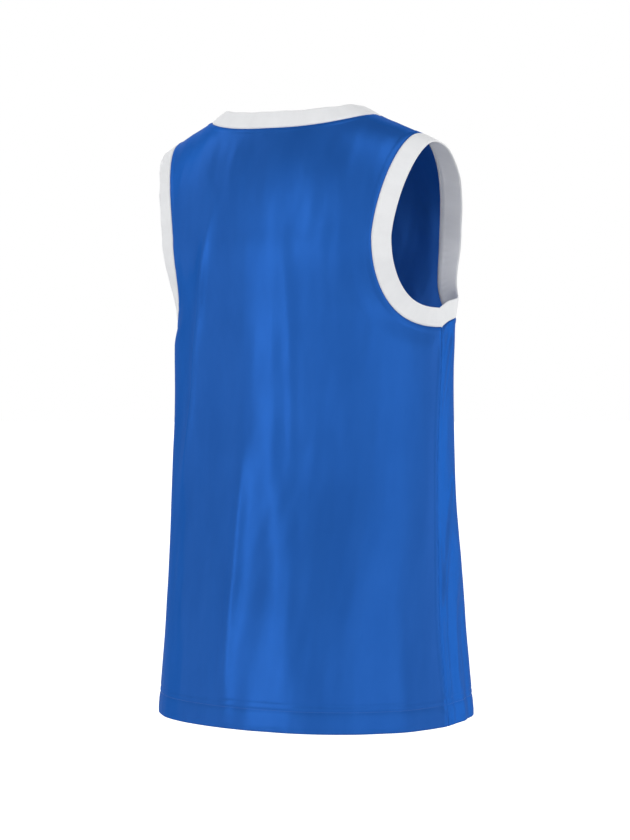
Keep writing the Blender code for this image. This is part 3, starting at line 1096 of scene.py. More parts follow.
@dataclass
class Panel:
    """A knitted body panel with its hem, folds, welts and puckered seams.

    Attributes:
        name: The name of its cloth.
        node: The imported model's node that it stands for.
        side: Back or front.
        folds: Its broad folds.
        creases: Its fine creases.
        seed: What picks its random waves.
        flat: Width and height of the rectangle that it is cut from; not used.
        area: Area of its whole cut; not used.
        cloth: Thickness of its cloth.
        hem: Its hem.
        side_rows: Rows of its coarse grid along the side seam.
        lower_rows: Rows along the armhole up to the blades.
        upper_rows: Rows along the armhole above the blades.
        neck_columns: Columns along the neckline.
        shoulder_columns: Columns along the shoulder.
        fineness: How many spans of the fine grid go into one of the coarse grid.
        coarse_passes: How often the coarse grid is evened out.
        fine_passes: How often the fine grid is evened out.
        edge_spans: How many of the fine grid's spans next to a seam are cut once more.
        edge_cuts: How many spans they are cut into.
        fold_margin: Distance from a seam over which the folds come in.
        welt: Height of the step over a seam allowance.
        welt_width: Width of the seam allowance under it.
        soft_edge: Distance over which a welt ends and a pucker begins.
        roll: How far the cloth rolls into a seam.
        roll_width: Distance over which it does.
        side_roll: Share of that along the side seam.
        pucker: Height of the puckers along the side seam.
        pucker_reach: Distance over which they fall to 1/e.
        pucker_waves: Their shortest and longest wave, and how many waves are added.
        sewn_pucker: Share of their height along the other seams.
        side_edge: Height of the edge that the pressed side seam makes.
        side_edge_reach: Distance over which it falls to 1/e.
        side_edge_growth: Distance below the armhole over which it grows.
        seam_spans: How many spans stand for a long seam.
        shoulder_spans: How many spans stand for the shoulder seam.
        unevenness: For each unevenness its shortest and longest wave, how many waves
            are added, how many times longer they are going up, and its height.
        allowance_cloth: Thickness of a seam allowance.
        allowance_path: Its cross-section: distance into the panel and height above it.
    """

    name: str
    node: str
    side: Side
    folds: tuple[Fold, ...]
    creases: tuple[Fold, ...]
    seed: int
    flat: tuple[float, float]
    area: float
    cloth: float = 0.9 * MM
    hem: Hem = field(default_factory=Hem)
    side_rows: int = 14
    lower_rows: int = 11
    upper_rows: int = 8
    neck_columns: int = 11
    shoulder_columns: int = 5
    fineness: int = 5
    coarse_passes: int = 400
    fine_passes: int = 150
    edge_spans: int = 3
    edge_cuts: int = 9
    fold_margin: float = 0.030
    welt: float = 0.5 * MM
    welt_width: float = 5.5 * MM
    soft_edge: float = 2 * MM
    roll: float = 0.9 * MM
    roll_width: float = 1.2 * MM
    side_roll: float = 0.4
    pucker: float = 0.35 * MM
    pucker_reach: float = 6 * MM
    pucker_waves: tuple[float, float, int] = (9 * MM, 26 * MM, 7)
    sewn_pucker: float = 0.4
    side_edge: float = 2.5 * MM
    side_edge_reach: float = 12 * MM
    side_edge_growth: float = 0.05
    seam_spans: int = 220
    shoulder_spans: int = 40
    unevenness: tuple[tuple[float, float, int, float, float], ...] = (
        (0.045, 0.110, 8, 4.0, 0.55 * MM), (0.016, 0.040, 8, 3.0, 0.10 * MM))
    allowance_cloth: float = 0.8 * MM
    allowance_path: tuple[tuple[float, float], ...] = (
        (0.3 * MM, -1.0 * MM), (1.2 * MM, -1.45 * MM), (4.0 * MM, -1.55 * MM),
        (6.6 * MM, -1.5 * MM), (7.0 * MM, -1.2 * MM))

    def edge_curves(self) -> tuple[Array, Array, Array, Array, Array]:
        """Flat curves of the side seam, both halves of the armhole, neckline, shoulder.

        Returns:
            Five curves, with their flat points one a row.
        """
        form, side = FORM, self.side
        low = form.hem_level + self.hem.depth + self.hem.clearance
        levels = np.linspace(low, form.underarm_level, form.samples)
        seam = np.stack([form.half_ring(side, levels) - form.seam_gap / 2, levels], axis=1)
        lower, upper = form.lower_armhole(side), form.upper_armhole(side)
        lower[0] = seam[-1]
        neck = form.neckline(side)
        shoulder = np.stack([neck[-1], upper[-1]])
        return seam, lower, upper, neck, shoulder

    def edges(self, fineness: int) -> tuple[Array, Array]:
        """Flat points up the panel's side and along its top, for a grid that fine.

        Args:
            fineness: How many times finer than the coarse grid.

        Returns:
            The points up the side and along the top.
        """
        seam, lower, upper, neck, shoulder = self.edge_curves()
        side = np.vstack([divide(seam, self.side_rows * fineness),
                          divide(lower, self.lower_rows * fineness)[1:],
                          divide(upper, self.upper_rows * fineness)[1:]])
        top = np.vstack([divide(neck, self.neck_columns * fineness),
                         divide(shoulder, self.shoulder_columns * fineness)[1:]])
        return side, top

    @staticmethod
    def spread(grid: Array, passes: int, pull: float = 0.9) -> Array:
        """Move the inner points until the grid's lines are smooth and evenly spread.

        Each pass takes a point towards where Winslow's equations hold: the second
        differences along and up, each weighted with the other's squared step, less
        twice the skew times the mixed difference, add up to nothing.

        Args:
            grid: The grid, which is changed.
            passes: How many passes.
            pull: The share of the way that a pass takes a point.

        Returns:
            The grid.
        """
        for _ in range(passes):
            along = (grid[1:-1, 2:] - grid[1:-1, :-2]) / 2
            up = (grid[2:, 1:-1] - grid[:-2, 1:-1]) / 2
            up_size = (up**2).sum(axis=-1, keepdims=True)
            along_size = (along**2).sum(axis=-1, keepdims=True)
            skew = (along * up).sum(axis=-1, keepdims=True)
            twist = (grid[2:, 2:] - grid[2:, :-2] - grid[:-2, 2:] + grid[:-2, :-2]) / 4
            target = (up_size * (grid[1:-1, 2:] + grid[1:-1, :-2])
                      + along_size * (grid[2:, 1:-1] + grid[:-2, 1:-1])
                      - 2 * skew * twist) / (2 * (up_size + along_size))
            grid[1:-1, 1:-1] += pull * (target - grid[1:-1, 1:-1])
            grid[1:-1, 0, 1] = grid[1:-1, 1, 1]
        return grid

    @staticmethod
    def at_rows(grid: Array, places: Array, axis: int) -> Array:
        """A grid read at fractional places along an axis, by straight interpolation.

        Args:
            grid: The grid.
            places: The places, counted in spans.
            axis: The axis.

        Returns:
            The new grid.
        """
        low = np.minimum(places.astype(int), grid.shape[axis] - 2)
        share = np.expand_dims(places - low, tuple(i for i in range(grid.ndim) if i != axis))
        return np.take(grid, low, axis) * (1 - share) + np.take(grid, low + 1, axis) * share

    def upper_grid(self) -> Array:
        """Flat coordinates of half the panel above the hem, [row, column, 2].

        Returns:
            The coordinates.
        """
        edge, top = self.edges(1)
        climb = np.linspace(0.0, 1.0, len(edge))[:, None, None]
        across = np.linspace(0.0, 1.0, len(top))[None, :, None]
        rise = (edge[:, 1] - edge[0, 1]) / (edge[-1, 1] - edge[0, 1])
        centre = np.stack([np.zeros(len(edge)), edge[0, 1] + (top[0, 1] - edge[0, 1]) * rise], axis=1)
        ruled = centre[:, None] * (1 - across) + edge[:, None] * across
        grid = ruled + np.where(climb > 0.5, 2 * climb - 1, 0.0) * (top[None] - ruled[-1:])
        grid = self.spread(grid, self.coarse_passes)
        for axis in (0, 1):
            count = (grid.shape[axis] - 1) * self.fineness
            grid = self.at_rows(grid, np.arange(count + 1) / self.fineness, axis)
        grid[:, -1], grid[-1] = self.edges(self.fineness)
        grid = self.spread(grid, self.fine_passes)
        for axis in (0, 1):
            last = grid.shape[axis] - 1
            start = last - self.edge_spans
            fine = np.linspace(start, last, self.edge_cuts + 1)[1:]
            grid = self.at_rows(grid, np.concatenate([np.arange(start + 1), fine]), axis)
        return grid

    def half_grid(self) -> tuple[Array, Array, Array]:
        """The grid of half the panel, from the hem's raw edge to the shoulder.

        Returns:
            Its flat coordinates, and the sink and the cloth length up to each row.
        """
        upper = self.upper_grid()
        height, sink = self.hem.rows()
        levels = FORM.hem_level + height
        share = upper[0, :, 0] / upper[0, -1, 0]
        reach = FORM.half_ring(self.side, levels) - FORM.seam_gap / 2
        lower = np.stack(np.broadcast_arrays(reach[:, None] * share, levels[:, None]), axis=-1)
        grid = np.concatenate([lower[:-1], upper])
        sink = np.concatenate([sink[:-1], np.zeros(len(upper))])
        folded = run_along(np.stack([height, sink[:len(height)]], axis=1))[:-1]
        run = np.concatenate([folded - folded[-1] + grid[len(folded) - 1, 0, 1]
                              - FORM.hem_level, grid[len(folded):, 0, 1] - FORM.hem_level])
        return grid, sink, run

    def seam_relief(self, points: Array, sign: float) -> tuple[Array, Array]:
        """Relief that the sewing gives, and how free the cloth is to fold.

        Args:
            points: Points of half the panel's plain form, one a row.
            sign: 1 for the wearer's left half and -1 for the right.

        Returns:
            The relief of each point, and its share of the panel's folds.
        """
        seam, lower, upper, neck, shoulder = self.edge_curves()
        hem_end = np.array([[seam[0, 0], FORM.hem_level]])
        pressed_back = self.side.outward < 0
        curves = (("side", np.vstack([hem_end, seam]), self.seam_spans, pressed_back),
                  ("armhole", np.vstack([lower, upper[1:]]), self.seam_spans, True),
                  ("neck", neck, self.seam_spans, True),
                  ("shoulder", shoulder, self.shoulder_spans, pressed_back))
        relief = np.zeros(len(points))
        free = np.full(len(points), np.inf)
        for i, (name, flat, count, welted) in enumerate(curves):
            flat = divide(flat, count)
            curve = FORM.point(self.side, flat[:, 0], flat[:, 1])
            distance, run = nearest(points, curve)
            free = np.minimum(free, distance)
            ripple = Ripple(*self.pucker_waves, self.seed + 10 * i + int(sign))
            waves = ripple.along(run) * np.exp(-distance / self.pucker_reach)
            strength = self.pucker * (1.0 if name == "side" else self.sewn_pucker)
            relief += strength * waves * smooth_step(distance / self.soft_edge)
            if welted:
                inner = smooth_step((distance - self.roll_width) / self.roll_width)
                relief += inner * self.welt_relief(distance)
            roll = self.roll * (self.side_roll if name == "side" else 1.0)
            relief -= roll * smooth_step(1 - distance / self.roll_width)
            if name == "side":
                relief += self.side_ridge(distance, run_along(curve)[-1] - run)
        return relief, smooth_step(free / self.fold_margin)

    def welt_relief(self, distance: Array) -> Array:
        """The step over a seam allowance, at distances from the seam."""
        return self.welt * smooth_step(
            (self.welt_width + self.soft_edge - distance) / self.soft_edge)

    def side_ridge(self, distance: Array, below: Array) -> Array:
        """The edge that the pressed side seam makes: height exp(-distance / reach).

        Args:
            distance: Distance from the side seam.
            below: Distance below the armhole, over which the edge grows.

        Returns:
            The relief.
        """
        grown = smooth_step(below / self.side_edge_growth)
        return self.side_edge * np.exp(-distance / self.side_edge_reach) * grown

    def drape(self, around: Array, level: Array) -> Array:
        """Relief of the panel's free cloth: folds, creases and a slight unevenness.

        Args:
            around: Distances from the centre line.
            level: Levels, in the same shape.

        Returns:
            The relief at each point.
        """
        relief = sum(fold.relief(around, level) for fold in self.folds + self.creases)
        for i, (shortest, longest, count, stretch, height) in enumerate(self.unevenness):
            ripple = Ripple(shortest, longest, count, self.seed + i)
            relief = relief + height * ripple.over(around, level, stretch)
        return relief

    def build(self) -> bpy.types.Object:
        """Make the panel's cloth.

        Returns:
            The cloth.
        """
        half, sink, run = self.half_grid()
        base = FORM.point(self.side, half[..., 0], half[..., 1])
        normal = FORM.normal(self.side, half[..., 0], half[..., 1])
        halves = []
        for sign in (-1.0, 1.0):
            sewn, free = self.seam_relief(base.reshape(-1, 3), sign)
            relief = sewn.reshape(base.shape[:2])
            around = sign * half[..., 0]
            relief = relief + self.drape(around, half[..., 1]) * free.reshape(base.shape[:2])
            height = half[..., 1] - FORM.hem_level
            outer = (sink == 0)[:, None]
            relief = relief + np.where(outer, self.hem.relief(height), 0.0)
            out = relief - sink[:, None]
            points = (base + normal * out[..., None]) * np.array([sign, 1.0, 1.0])
            uv = np.stack(np.broadcast_arrays(around, run[:, None]), axis=-1)
            halves.append((points, uv))
        points, uv = (np.concatenate([left[:, :0:-1], right], axis=1)
                      for left, right in zip(*halves))
        facing = Facing.FORWARD if self.side.outward > 0 else Facing.BACKWARD
        obj = grid_object(self.name, points, uv, wrap=False, facing=facing)
        thicken(obj, self.cloth, -1.0)
        return obj

    def surface(self, around: Array, level: Array, lift: Array) -> Array:
        """Points a little above the draped panel, away from its neck and armholes.

        Args:
            around: Distances from the centre line.
            level: Levels, in the same shape.
            lift: How far above the cloth each point is.

        Returns:
            The points.
        """
        edge = FORM.half_ring(self.side, level) - np.abs(around)
        height = level - FORM.hem_level
        relief = self.drape(around, level) * smooth_step(edge / self.fold_margin)
        relief = relief + self.hem.relief(height)
        if self.side.outward < 0:
            relief = relief + self.welt_relief(edge)
        relief = relief + self.side_ridge(edge, FORM.underarm_level - level)
        normal = FORM.normal(self.side, around, level)
        return FORM.point(self.side, around, level) + normal * (relief + lift)[..., None]

    def hem_stitching(self) -> bpy.types.Object:
        """Two needle lines outside and the looper thread between them inside.

        A needle thread lies on the cloth and dips into it at every hole: its lift is
        lift - dip exp(-(distance to the hole / hole width)^2). The looper thread swings
        as a sine wave, once a stitch.

        Returns:
            The threads.
        """
        hem, lines = self.hem, []
        for needle in (hem.lower_needle, hem.upper_needle):
            level = FORM.hem_level + needle
            reach = FORM.half_ring(self.side, np.array([level]))[0] - hem.stitch_end
            around = np.arange(-reach, reach, hem.stitch / hem.stitch_points)
            hole = np.abs((around / hem.stitch + 0.5) % 1.0 - 0.5) * hem.stitch
            lift = hem.lift - hem.dip * bump(hole, hem.hole_width)
            lines.append(self.surface(around, np.full(len(around), level), lift))
        middle = (hem.lower_needle + hem.upper_needle) / 2
        swing = (hem.upper_needle - hem.lower_needle) / 2 + hem.looper_reach
        levels = FORM.hem_level + middle + swing * np.sin(2 * math.pi * around / hem.stitch)
        inside = -hem.ply_gap - hem.looper_sink
        lines.append(self.surface(around, levels, np.full(len(around), inside)))
        return tube_object(f"hem_stitching_{self.node}", lines, hem.thread_radius)

    def allowance(self, name: str, curve: Array, inward: Array) -> bpy.types.Object:
        """A seam allowance pressed flat on the panel's inner face.

        Args:
            name: The object's name.
            curve: Flat points along the seam.
            inward: Flat unit vector from the seam into the panel, at each point.

        Returns:
            The allowance's cloth.
        """
        rows = np.array(self.allowance_path)
        flat = curve[:, None] + inward[:, None] * rows[None, :, :1]
        points = FORM.point(self.side, flat[..., 0], flat[..., 1])
        normal = FORM.normal(self.side, flat[..., 0], flat[..., 1])
        points = points + normal * rows[None, :, 1:]
        run = run_along(points[:, 0])
        uv = np.stack(np.broadcast_arrays(rows[None, :, 0], run[:, None]), axis=-1)
        obj = grid_object(name, points, uv, wrap=False, facing=Facing.BACKWARD)
        thicken(obj, self.allowance_cloth, 0.0)
        return obj


# ---------------------------------------------------------------- bands


@dataclass(frozen=True)
class SeamLoop:
    """A closed seam with, at each point, the frame that a band stands in.

    Attributes:
        points: Its points, one a row.
        into: Unit vectors into the opening.
        normal: Unit vectors away from the wearer.
        lean: How far a band leans out, in radians.
        lean_start: Distance into the opening at which the lean begins.
        lean_run: Distance over which it grows to the full.
    """

    points: Array
    into: Array
    normal: Array
    lean: Array
    lean_start: float = -1 * MM
    lean_run: float = 4 * MM

    @property
    def run(self) -> Array:
        """Length up to each point, with the whole length as a last entry."""
        return run_along(np.vstack([self.points, self.points[:1]]))

    def place(self, run: Array, distance: Array, height: Array) -> Array:
        """Points at a run along the seam, a distance into the opening and a height.

        The lean grows in over the first millimetres from the seam, so that the seam
        allowance, on its other side, lies along the body. Across the band is
        into cos(lean) + normal sin(lean), and out of it normal cos(lean) - into sin(lean).

        Args:
            run: Runs along the seam.
            distance: Distances into the opening, in the same shape.
            height: Heights above the panel, in the same shape.

        Returns:
            The points.
        """
        total = self.run[-1]
        read = {name: np.stack([np.interp(run, self.run[:-1], column, period=total)
                                for column in getattr(self, name).T], axis=-1)
                for name in ("points", "into", "normal")}
        lean = np.interp(run, self.run[:-1], self.lean, period=total)
        lean = lean * smooth_step((distance - self.lean_start) / self.lean_run)
        into, normal = unit(read["into"]), unit(read["normal"])
        turn, rise = np.cos(lean)[..., None], np.sin(lean)[..., None]
        across = into * turn + normal * rise
        out = normal * turn - into * rise
        return read["points"] + across * distance[..., None] + out * height[..., None]


@dataclass(frozen=True)
class Overlock:
    """The overlock round a band's raw edges, inside the body.

    Distances go from the seam into the opening and heights from the panel outwards.

    Attributes:
        pitch: Length of a stitch.
        points: Points of a thread for each stitch.
        radius: Radius of the thread.
        middle: Distance of the zigzag's middle.
        swing: How far the zigzag swings to each side.
        height: Height of the zigzag.
        hook: How far it climbs where it goes round the raw edges.
        edge: Distance of the thread along the raw edges.
        edge_swing: How far that thread swings to each side.
        edge_height: Its height.
    """

    pitch: float = 2.6 * MM
    points: int = 8
    radius: float = 0.20 * MM
    middle: float = -3.7 * MM
    swing: float = 2.1 * MM
    height: float = -2.85 * MM
    hook: float = 0.45 * MM
    edge: float = -5.9 * MM
    edge_swing: float = 0.15 * MM
    edge_height: float = -1.95 * MM

    def build(self, name: str, seam: SeamLoop) -> bpy.types.Object:
        """Make the zigzag and the thread along the raw edges.

        With a turn of 2 pi a stitch, the zigzag's distance is middle + swing cos(turn).

        Args:
            name: The object's name.
            seam: The seam that it follows.

        Returns:
            The threads.
        """
        count = int(seam.run[-1] / self.pitch)
        turn = np.linspace(0.0, 2 * math.pi * count, self.points * count)
        run = turn / (2 * math.pi) * seam.run[-1] / count
        height = self.height + self.hook * smooth_step(-np.cos(turn) * 2 - 1)
        zigzag = seam.place(run, self.middle + self.swing * np.cos(turn), height)
        edge = seam.place(run, self.edge + self.edge_swing * np.cos(turn),
                          np.full(len(run), self.edge_height))
        return tube_object(name, [zigzag, edge], self.radius)


@dataclass
class FoldedBand:
    """A strip of flat knit folded in two, sewn round an opening with both raw edges.

    The strip is one sheet. It starts at its raw edge inside the body, comes out through
    the seam, crosses the outer face, turns round the free edge and comes back inside.

    Attributes:
        name: The name of its cloth.
        seam: The seam that it is sewn to.
        seed: What picks its random waves.
        strip_width: Width of the flat strip; not used.
        cloth: Thickness of its cloth.
        columns: Columns of its grid round the opening.
        path: Its cross-section: distance from the seam and height above the panel.
        path_steps: How many steps each span of the path is cut into.
        slow_waves: Shortest and longest wave of its free edge, and how many are added.
        slow_height: Their height at the free edge.
        slow_run: Distance from the seam over which they grow.
        quick_waves: The same for the puckers beside the seam.
        quick_height: Height of the puckers.
        quick_rise: Distance over which they begin.
        quick_reach: Distance over which they fall to 1/e.
        overlock: The overlock round its raw edges.
    """

    name: str
    seam: SeamLoop
    seed: int
    strip_width: float = 0.060
    cloth: float = 0.7 * MM
    columns: int = 420
    path: tuple[tuple[float, float], ...] = tuple(
        (distance * MM, height * MM) for distance, height in (
            (-5.4, -1.50), (-2.2, -1.45), (0.1, -1.20), (0.9, -0.45), (2.0, 0.10),
            (6.5, 0.40), (12.0, 0.45), (18.0, 0.38), (21.6, 0.18), (22.9, -0.25),
            (23.3, -0.75), (22.9, -1.25), (21.6, -1.65), (17.0, -1.80), (10.0, -1.80),
            (4.0, -1.85), (0.4, -2.05), (-2.0, -2.30), (-5.6, -2.35)))
    path_steps: int = 3
    slow_waves: tuple[float, float, int] = (0.030, 0.090, 6)
    slow_height: float = 0.35 * MM
    slow_run: float = 12 * MM
    quick_waves: tuple[float, float, int] = (8 * MM, 20 * MM, 6)
    quick_height: float = 0.14 * MM
    quick_rise: float = 1.5 * MM
    quick_reach: float = 5 * MM
    overlock: Overlock = field(default_factory=Overlock)

    def build(self) -> bpy.types.Object:
        """Make the band's cloth.

        Returns:
            The cloth.
        """
        section = rounded(np.array(self.path), self.path_steps)
        run = np.linspace(0.0, self.seam.run[-1], self.columns, endpoint=False)
        across, along = np.meshgrid(section[:, 0], run, indexing="ij")
        height = np.broadcast_to(section[:, 1:], across.shape).copy()
        slow, quick = Ripple(*self.slow_waves, self.seed), Ripple(*self.quick_waves, self.seed + 1)
        height += self.slow_height * smooth_step(across / self.slow_run) * slow.along(along)
        near = smooth_step(across / self.quick_rise)
        near = near * np.exp(-np.maximum(across, 0.0) / self.quick_reach)
        height += self.quick_height * near * quick.along(along)
        points = self.seam.place(along, across, height)
        round_run = np.append(run, self.seam.run[-1])
        uv = np.stack(np.broadcast_arrays(round_run[None], run_along(section)[:, None]), axis=-1)
        obj = grid_object(self.name, points, uv, wrap=True, facing=self.facing(points))
        thicken(obj, self.cloth, 0.0)
        return obj

    @staticmethod
    def facing(points: Array) -> Facing:
        """The way round that makes a band's outer face look away from the wearer.

        A third of the way through its rows is the outer ply and two thirds the inner.

        Args:
            points: The band's points, [row, column, xyz].

        Returns:
            The way round.
        """
        rows = points.shape[0]
        outer = points[rows // 3]
        along = np.roll(outer, -1, axis=0) - outer
        up = points[rows // 3 + 1] - outer
        normal = np.cross(along, up)
        inner = points[2 * rows // 3]
        return Facing.FORWARD if (normal * (outer - inner)).sum() > 0 else Facing.BACKWARD


@dataclass(frozen=True)
class BandLean:
    """How far the armhole bands lean out at a place on the armhole.

    Attributes:
        climb: Share of the way from the side seam up to the shoulder.
        back: The lean of the back half, in degrees.
        front: The lean of the front half, in degrees.
    """

    climb: float
    back: float
    front: float


ARMHOLE_LEANS = (
    BandLean(0.00, -10, -10),
    BandLean(0.10, -7, -9),
    BandLean(0.18, -4, 1),
    BandLean(0.25, -1, 15),
    BandLean(0.40, 3, 24),
    BandLean(0.65, 3, 28),
    BandLean(1.00, 0, 0),
)


@dataclass(frozen=True)
class Openings:
    """The seams of the neck and the armholes, from both panels' edges.

    Attributes:
        neck_lean: How far the neck band leans out at the neck points, in radians.
        corner_width: Width of the Gaussian that rounds a band's direction into the opening.
        normal_width: Width of the Gaussian that evens out the seam's normals.
        lean_width: Width of the Gaussian that evens out the lean.
        half_count: How many spans each half of a loop is cut into.
    """

    neck_lean: float = math.radians(4.0)
    corner_width: float = 0.030
    normal_width: float = 0.017
    lean_width: float = 0.010
    half_count: int = 220

    def loop(self, back_flat: Array, front_flat: Array, lean: Array, mirror: float) -> SeamLoop:
        """A closed seam from one flat run on the back and one on the front.

        Args:
            back_flat: Flat points on the back, from the first common end.
            front_flat: As many flat points on the front, between the same ends.
            lean: Lean at the points of the back run and then of the front run.
            mirror: -1 to mirror the loop to the wearer's right, else 1.

        Returns:
            The seam's loop.
        """
        runs = []
        for side, flat in ((BACK, back_flat), (FRONT, front_flat)):
            runs.append((FORM.point(side, flat[:, 0], flat[:, 1]),
                         FORM.normal(side, flat[:, 0], flat[:, 1])))
        points, normal = (np.vstack([[(b[0] + f[0]) / 2], b[1:-1], [(b[-1] + f[-1]) / 2],
                                     f[-2:0:-1]]) for b, f in zip(*runs))
        lean = np.concatenate([lean[0], lean[1][-2:0:-1]])
        points = points * np.array([mirror, 1.0, 1.0])
        normal = normal * np.array([mirror, 1.0, 1.0])
        step = run_along(points)[-1] / len(points)
        lean = soften_loop(lean[:, None], self.lean_width / step)[:, 0]
        normal = unit(soften_loop(normal, self.normal_width / step))
        along = unit(np.roll(points, -1, axis=0) - np.roll(points, 1, axis=0))
        into = np.cross(normal, along)
        towards = ((points.mean(axis=0) - points) * into).sum()
        into = unit(soften_loop(into * math.copysign(1.0, towards), self.corner_width / step))
        return SeamLoop(points, into, normal, lean)

    def neck(self) -> SeamLoop:
        """The neck seam, from the left neck point round the back and the front.

        Returns:
            The loop.
        """
        flats = []
        for side in (BACK, FRONT):
            half = divide(FORM.neckline(side), self.half_count // 2)
            flats.append(np.vstack([half[::-1], half[1:] * np.array([-1.0, 1.0])]))
        leans = [self.neck_lean * (flat[:, 0] / flat[0, 0]) ** 2 for flat in flats]
        return self.loop(flats[0], flats[1], leans, 1.0)

    def armhole(self, mirror: float) -> SeamLoop:
        """An armhole seam, from the side seam up the back and up the front.

        Args:
            mirror: 1 for the wearer's left and -1 for the right.

        Returns:
            The loop.
        """
        flats = [divide(np.vstack([FORM.lower_armhole(side), FORM.upper_armhole(side)[1:]]),
                        self.half_count) for side in (BACK, FRONT)]
        climb = np.linspace(0.0, 1.0, self.half_count + 1)
        rows = [row.climb for row in ARMHOLE_LEANS]
        leans = [np.radians(np.interp(climb, rows, [getattr(row, name) for row in ARMHOLE_LEANS]))
                 for name in ("back", "front")]
        return self.loop(flats[0], flats[1], leans, mirror)


# ---------------------------------------------------------------- the jersey


@dataclass
class Jersey:
    """The whole jersey: its pieces, what they replace and the cuts they were made from.

    Attributes:
        finishes: Its finishes.
        openings: Its neck and armholes.
        back: Its back panel.
        front: Its front panel.
        side_spans: How many spans a side seam's allowance has.
        shoulder_spans: How many spans a shoulder seam's allowance has.
        shoulder_end: How far that stops from the neck and the armhole.
    """

    finishes: Finishes = field(default_factory=Finishes)
    openings: Openings = field(default_factory=Openings)
    back: Panel = field(default_factory=lambda: Panel(
        "back_panel_knit", "back_panel", BACK, BACK_FOLDS, BACK_CREASES, seed=3,
        flat=(0.558, 0.818), area=0.360))
    front: Panel = field(default_factory=lambda: Panel(
        "front_panel_knit", "front_panel", FRONT, FRONT_FOLDS, FRONT_CREASES, seed=5,
        flat=(0.621, 0.864), area=0.375))
    side_spans: int = 90
    shoulder_spans: int = 16
    shoulder_end: float = 6 * MM

    def dress(self, obj: bpy.types.Object, material: bpy.types.Material) -> None:
        """Give a piece its finish and its place in the model.

        Args:
            obj: The piece.
            material: Its finish.
        """
        obj.data.materials.clear()
        obj.data.materials.append(material)
        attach(obj, "root")
        LOG.info("%s: %d faces", obj.name, len(obj.data.polygons))

    def build(self) -> None:
        """Build every piece of the jersey."""
        self.build_panels()
        self.build_bands()

    def build_panels(self) -> None:
        """Build both panels, with their hem stitching and the back's seam allowances."""
        body, thread = self.finishes.body.build(), self.finishes.body_thread.build()
        for panel in (self.back, self.front):
            cloth = panel.build()
            self.dress(cloth, body)
            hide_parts(panel.node)
            sewing = [panel.hem_stitching()]
            self.dress(sewing[0], thread)
            if panel is self.back:
                for name, curve, inward in self.back_allowances():
                    sewing.append(panel.allowance(name, curve, inward))
                    self.dress(sewing[-1], body)

    def build_bands(self) -> None:
        """Build the bands of the neck and the armholes, each with its overlock."""
        trim, thread = self.finishes.trim.build(), self.finishes.trim_thread.build()
        bands = (("neck", "neck_band", self.openings.neck()),
                 ("armhole_left", "armhole_band_left", self.openings.armhole(1.0)),
                 ("armhole_right", "armhole_band_right", self.openings.armhole(-1.0)))
        for i, (name, node, seam) in enumerate(bands):
            band = FoldedBand(f"{node}_knit", seam, seed=20 + 2 * i)
            cloth = band.build()
            self.dress(cloth, trim)
            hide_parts(node)
            overlock = band.overlock.build(f"{name}_overlock", seam)
            self.dress(overlock, thread)

    def back_allowances(self) -> list[tuple[str, Array, Array]]:
        """The seam allowances inside the back.

        Returns:
            The name, flat seam and flat inward directions of each.
        """
        seam, _, _, neck, shoulder = self.back.edge_curves()
        side = divide(seam, self.side_spans)
        inset = np.array([self.shoulder_end, 0.0])
        top = divide(np.stack([neck[-1] + inset, shoulder[-1] - inset]), self.shoulder_spans)
        found = []
        for word, sign in (("left", 1.0), ("right", -1.0)):
            turn = np.array([sign, 1.0])
            found.append((f"side_seam_allowance_{word}", side * turn,
                          np.tile([-sign, 0.0], (len(side), 1))))
            found.append((f"shoulder_seam_allowance_{word}", top * turn,
                          np.tile([0.0, -1.0], (len(top), 1))))
        return found


# ---------------------------------------------------------------- camera, light, floor


@dataclass(frozen=True)
class Lamp:
    """A softbox that faces the jersey.

    Attributes:
        name: The lamp's name.
        turn: How far it stands to the right of the camera, round the jersey, in degrees.
        elevation: How high it stands, in degrees.
        distance: How far it is from the jersey, in metres.
        size: Its width and height, in metres.
        power: Its power, in watts.
    """

    name: str
    turn: float
    elevation: float
    distance: float
    size: tuple[float, float]
    power: float


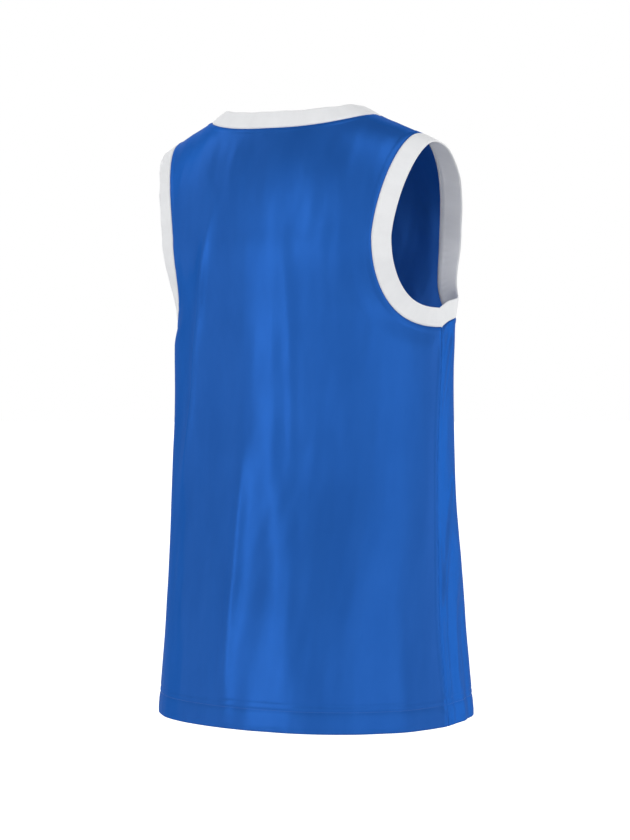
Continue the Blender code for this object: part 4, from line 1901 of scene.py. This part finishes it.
@dataclass(frozen=True)
class Studio:
    """The photograph's viewpoint, a white room and soft light.

    Attributes:
        azimuth: Where the camera stands round the object, in degrees.
        elevation: How far it looks down, in degrees.
        distance: From the camera to its target, in metres.
        target_right: The target's distance to the right of the object's middle line.
        target_height: The target's height.
        focal_pixels: Focal length in pixels of the photograph.
        photo_height: Height of the photograph in pixels.
        sensor_width: The camera's sensor width, in millimetres.
        sight: How far the camera sees.
        floor_height: Height of the floor.
        floor_radius: Radius of the floor.
        floor_sides: How many sides the floor has.
        floor_glow: Strength of the floor's own light below the jersey and far off.
        bright_floor: Distances between which the floor's light grows.
        overhead: Strength of the room's light overhead, against 1 all round.
        overhead_rise: Rise per metre of way at which the room's light begins to fall
            and has fallen.
    """

    azimuth: float = 211.138
    elevation: float = 1.849
    distance: float = 3.1891
    target_right: float = 0.0221
    target_height: float = -0.3665
    focal_pixels: float = 2617.2
    photo_height: int = 840
    sensor_width: float = 36.0
    sight: float = 200.0
    floor_height: float = -3.0
    floor_radius: float = 80.0
    floor_sides: int = 96
    floor_glow: tuple[float, float] = (0.1, 1.0)
    bright_floor: tuple[float, float] = (6.0, 10.0)
    overhead: float = 0.34
    overhead_rise: tuple[float, float] = (0.14, 0.36)
    lamps: tuple[Lamp, ...] = (
        Lamp("left_strip", -51, 4, 3.4, (0.45, 2.2), 18.5),
        Lamp("high_left_box", -108, 34, 3.4, (1.4, 2.0), 21.0),
        Lamp("front_sheet", 28, 50, 4.6, (5.0, 3.0), 88.0),
        Lamp("right_sheet", 30, 2, 4.4, (5.0, 3.0), 30.0),
        Lamp("right_strip", 125, 8, 3.2, (0.7, 3.2), 24.0),
        Lamp("far_sheet", 190, 30, 4.6, (4.6, 3.4), 92.0),
    )

    def direction(self, turn: float, elevation: float) -> Vector:
        """Unit vector that way from the jersey.

        Args:
            turn: How far round it points, to the right of the camera, in degrees.
            elevation: How far up it points, in degrees.

        Returns:
            (sin(turn) cos(rise), -cos(turn) cos(rise), sin(rise)), with turn from -Y.
        """
        turn, rise = math.radians(self.azimuth + turn), math.radians(elevation)
        return Vector((math.sin(turn) * math.cos(rise), -math.cos(turn) * math.cos(rise),
                       math.sin(rise)))

    def camera(self) -> None:
        """Stand the camera where the photograph was taken."""
        back = self.direction(0.0, self.elevation)
        right = (-back).cross(Vector((0.0, 0.0, 1.0))).normalized()
        up = right.cross(-back)
        data = bpy.data.cameras.new("photo_camera")
        data.sensor_width = self.sensor_width
        data.lens = self.focal_pixels * data.sensor_width / self.photo_height
        data.clip_end = self.sight
        obj = new_object("photo_camera", data)
        target = right * self.target_right + Vector((0.0, 0.0, self.target_height))
        obj.matrix_world = Matrix.Translation(target + back * self.distance) @ Matrix(
            (right, up, back)).transposed().to_4x4()
        bpy.context.scene.camera = obj

    def hang(self, lamp: Lamp) -> None:
        """Hang a softbox so that it faces the jersey.

        Args:
            lamp: The softbox.
        """
        away = self.direction(lamp.turn, lamp.elevation)
        data = bpy.data.lights.new(lamp.name, "AREA")
        data.shape = "RECTANGLE"
        data.size, data.size_y = lamp.size
        data.energy = lamp.power
        obj = new_object(lamp.name, data)
        obj.location = away * lamp.distance + Vector((0.0, 0.0, self.target_height))
        obj.rotation_euler = away.to_track_quat("Z", "Y").to_euler()

    def light(self) -> None:
        """Light a room that is white all round and dim overhead, and hang the lamps."""
        world = bpy.data.worlds.new("white_room")
        world.use_nodes = True
        tree = world.node_tree
        background = tree.nodes["Background"]
        background.inputs["Color"].default_value = (1.0, 1.0, 1.0, 1.0)
        place = add_node(tree, "ShaderNodeTexCoord")
        parts = add_node(tree, "ShaderNodeSeparateXYZ", {0: place.outputs["Generated"]})
        height = add_node(tree, "ShaderNodeMapRange", {
            "Value": parts.outputs["Z"], "From Min": self.overhead_rise[0],
            "From Max": self.overhead_rise[1], "To Min": 1.0, "To Max": self.overhead},
            interpolation_type="SMOOTHSTEP")
        tree.links.new(height.outputs["Result"], background.inputs["Strength"])
        bpy.context.scene.world = world
        for lamp in self.lamps:
            self.hang(lamp)
        bpy.context.scene.view_settings.view_transform = "Standard"

    def floor(self) -> None:
        """Lay a plain pale floor, far below the jersey, that glows white further off."""
        turn = np.linspace(0.0, 2 * math.pi, self.floor_sides, endpoint=False)
        rim = np.stack([self.floor_radius * np.cos(turn), self.floor_radius * np.sin(turn),
                        np.full(len(turn), self.floor_height)], axis=-1)
        mesh = bpy.data.meshes.new("floor")
        mesh.from_pydata(rim.tolist(), [], [list(range(len(rim)))])
        # Matt white studio paper: evenly pale, with no gloss.
        material, tree, shader = new_material("white_studio_floor", {
            "Base Color": srgb("#ececec"), "Roughness": 0.9,
            "Emission Color": srgb("#ffffff")})
        place = add_node(tree, "ShaderNodeTexCoord")
        reach = add_node(tree, "ShaderNodeVectorMath", {0: place.outputs["Object"]},
                         operation="LENGTH")
        glow = add_node(tree, "ShaderNodeMapRange", {
            "Value": reach.outputs["Value"], "From Min": self.bright_floor[0],
            "From Max": self.bright_floor[1], "To Min": self.floor_glow[0],
            "To Max": self.floor_glow[1]}, interpolation_type="SMOOTHSTEP")
        tree.links.new(glow.outputs["Result"], shader.inputs["Emission Strength"])
        mesh.materials.append(material)
        new_object("floor", mesh)


def main() -> None:
    """Build the jersey, then the room around it."""
    logging.basicConfig(level=logging.INFO, format="%(message)s")
    studio = Studio()
    studio.camera()
    Jersey().build()
    studio.light()
    studio.floor()


if __name__ == "__main__":
    main()
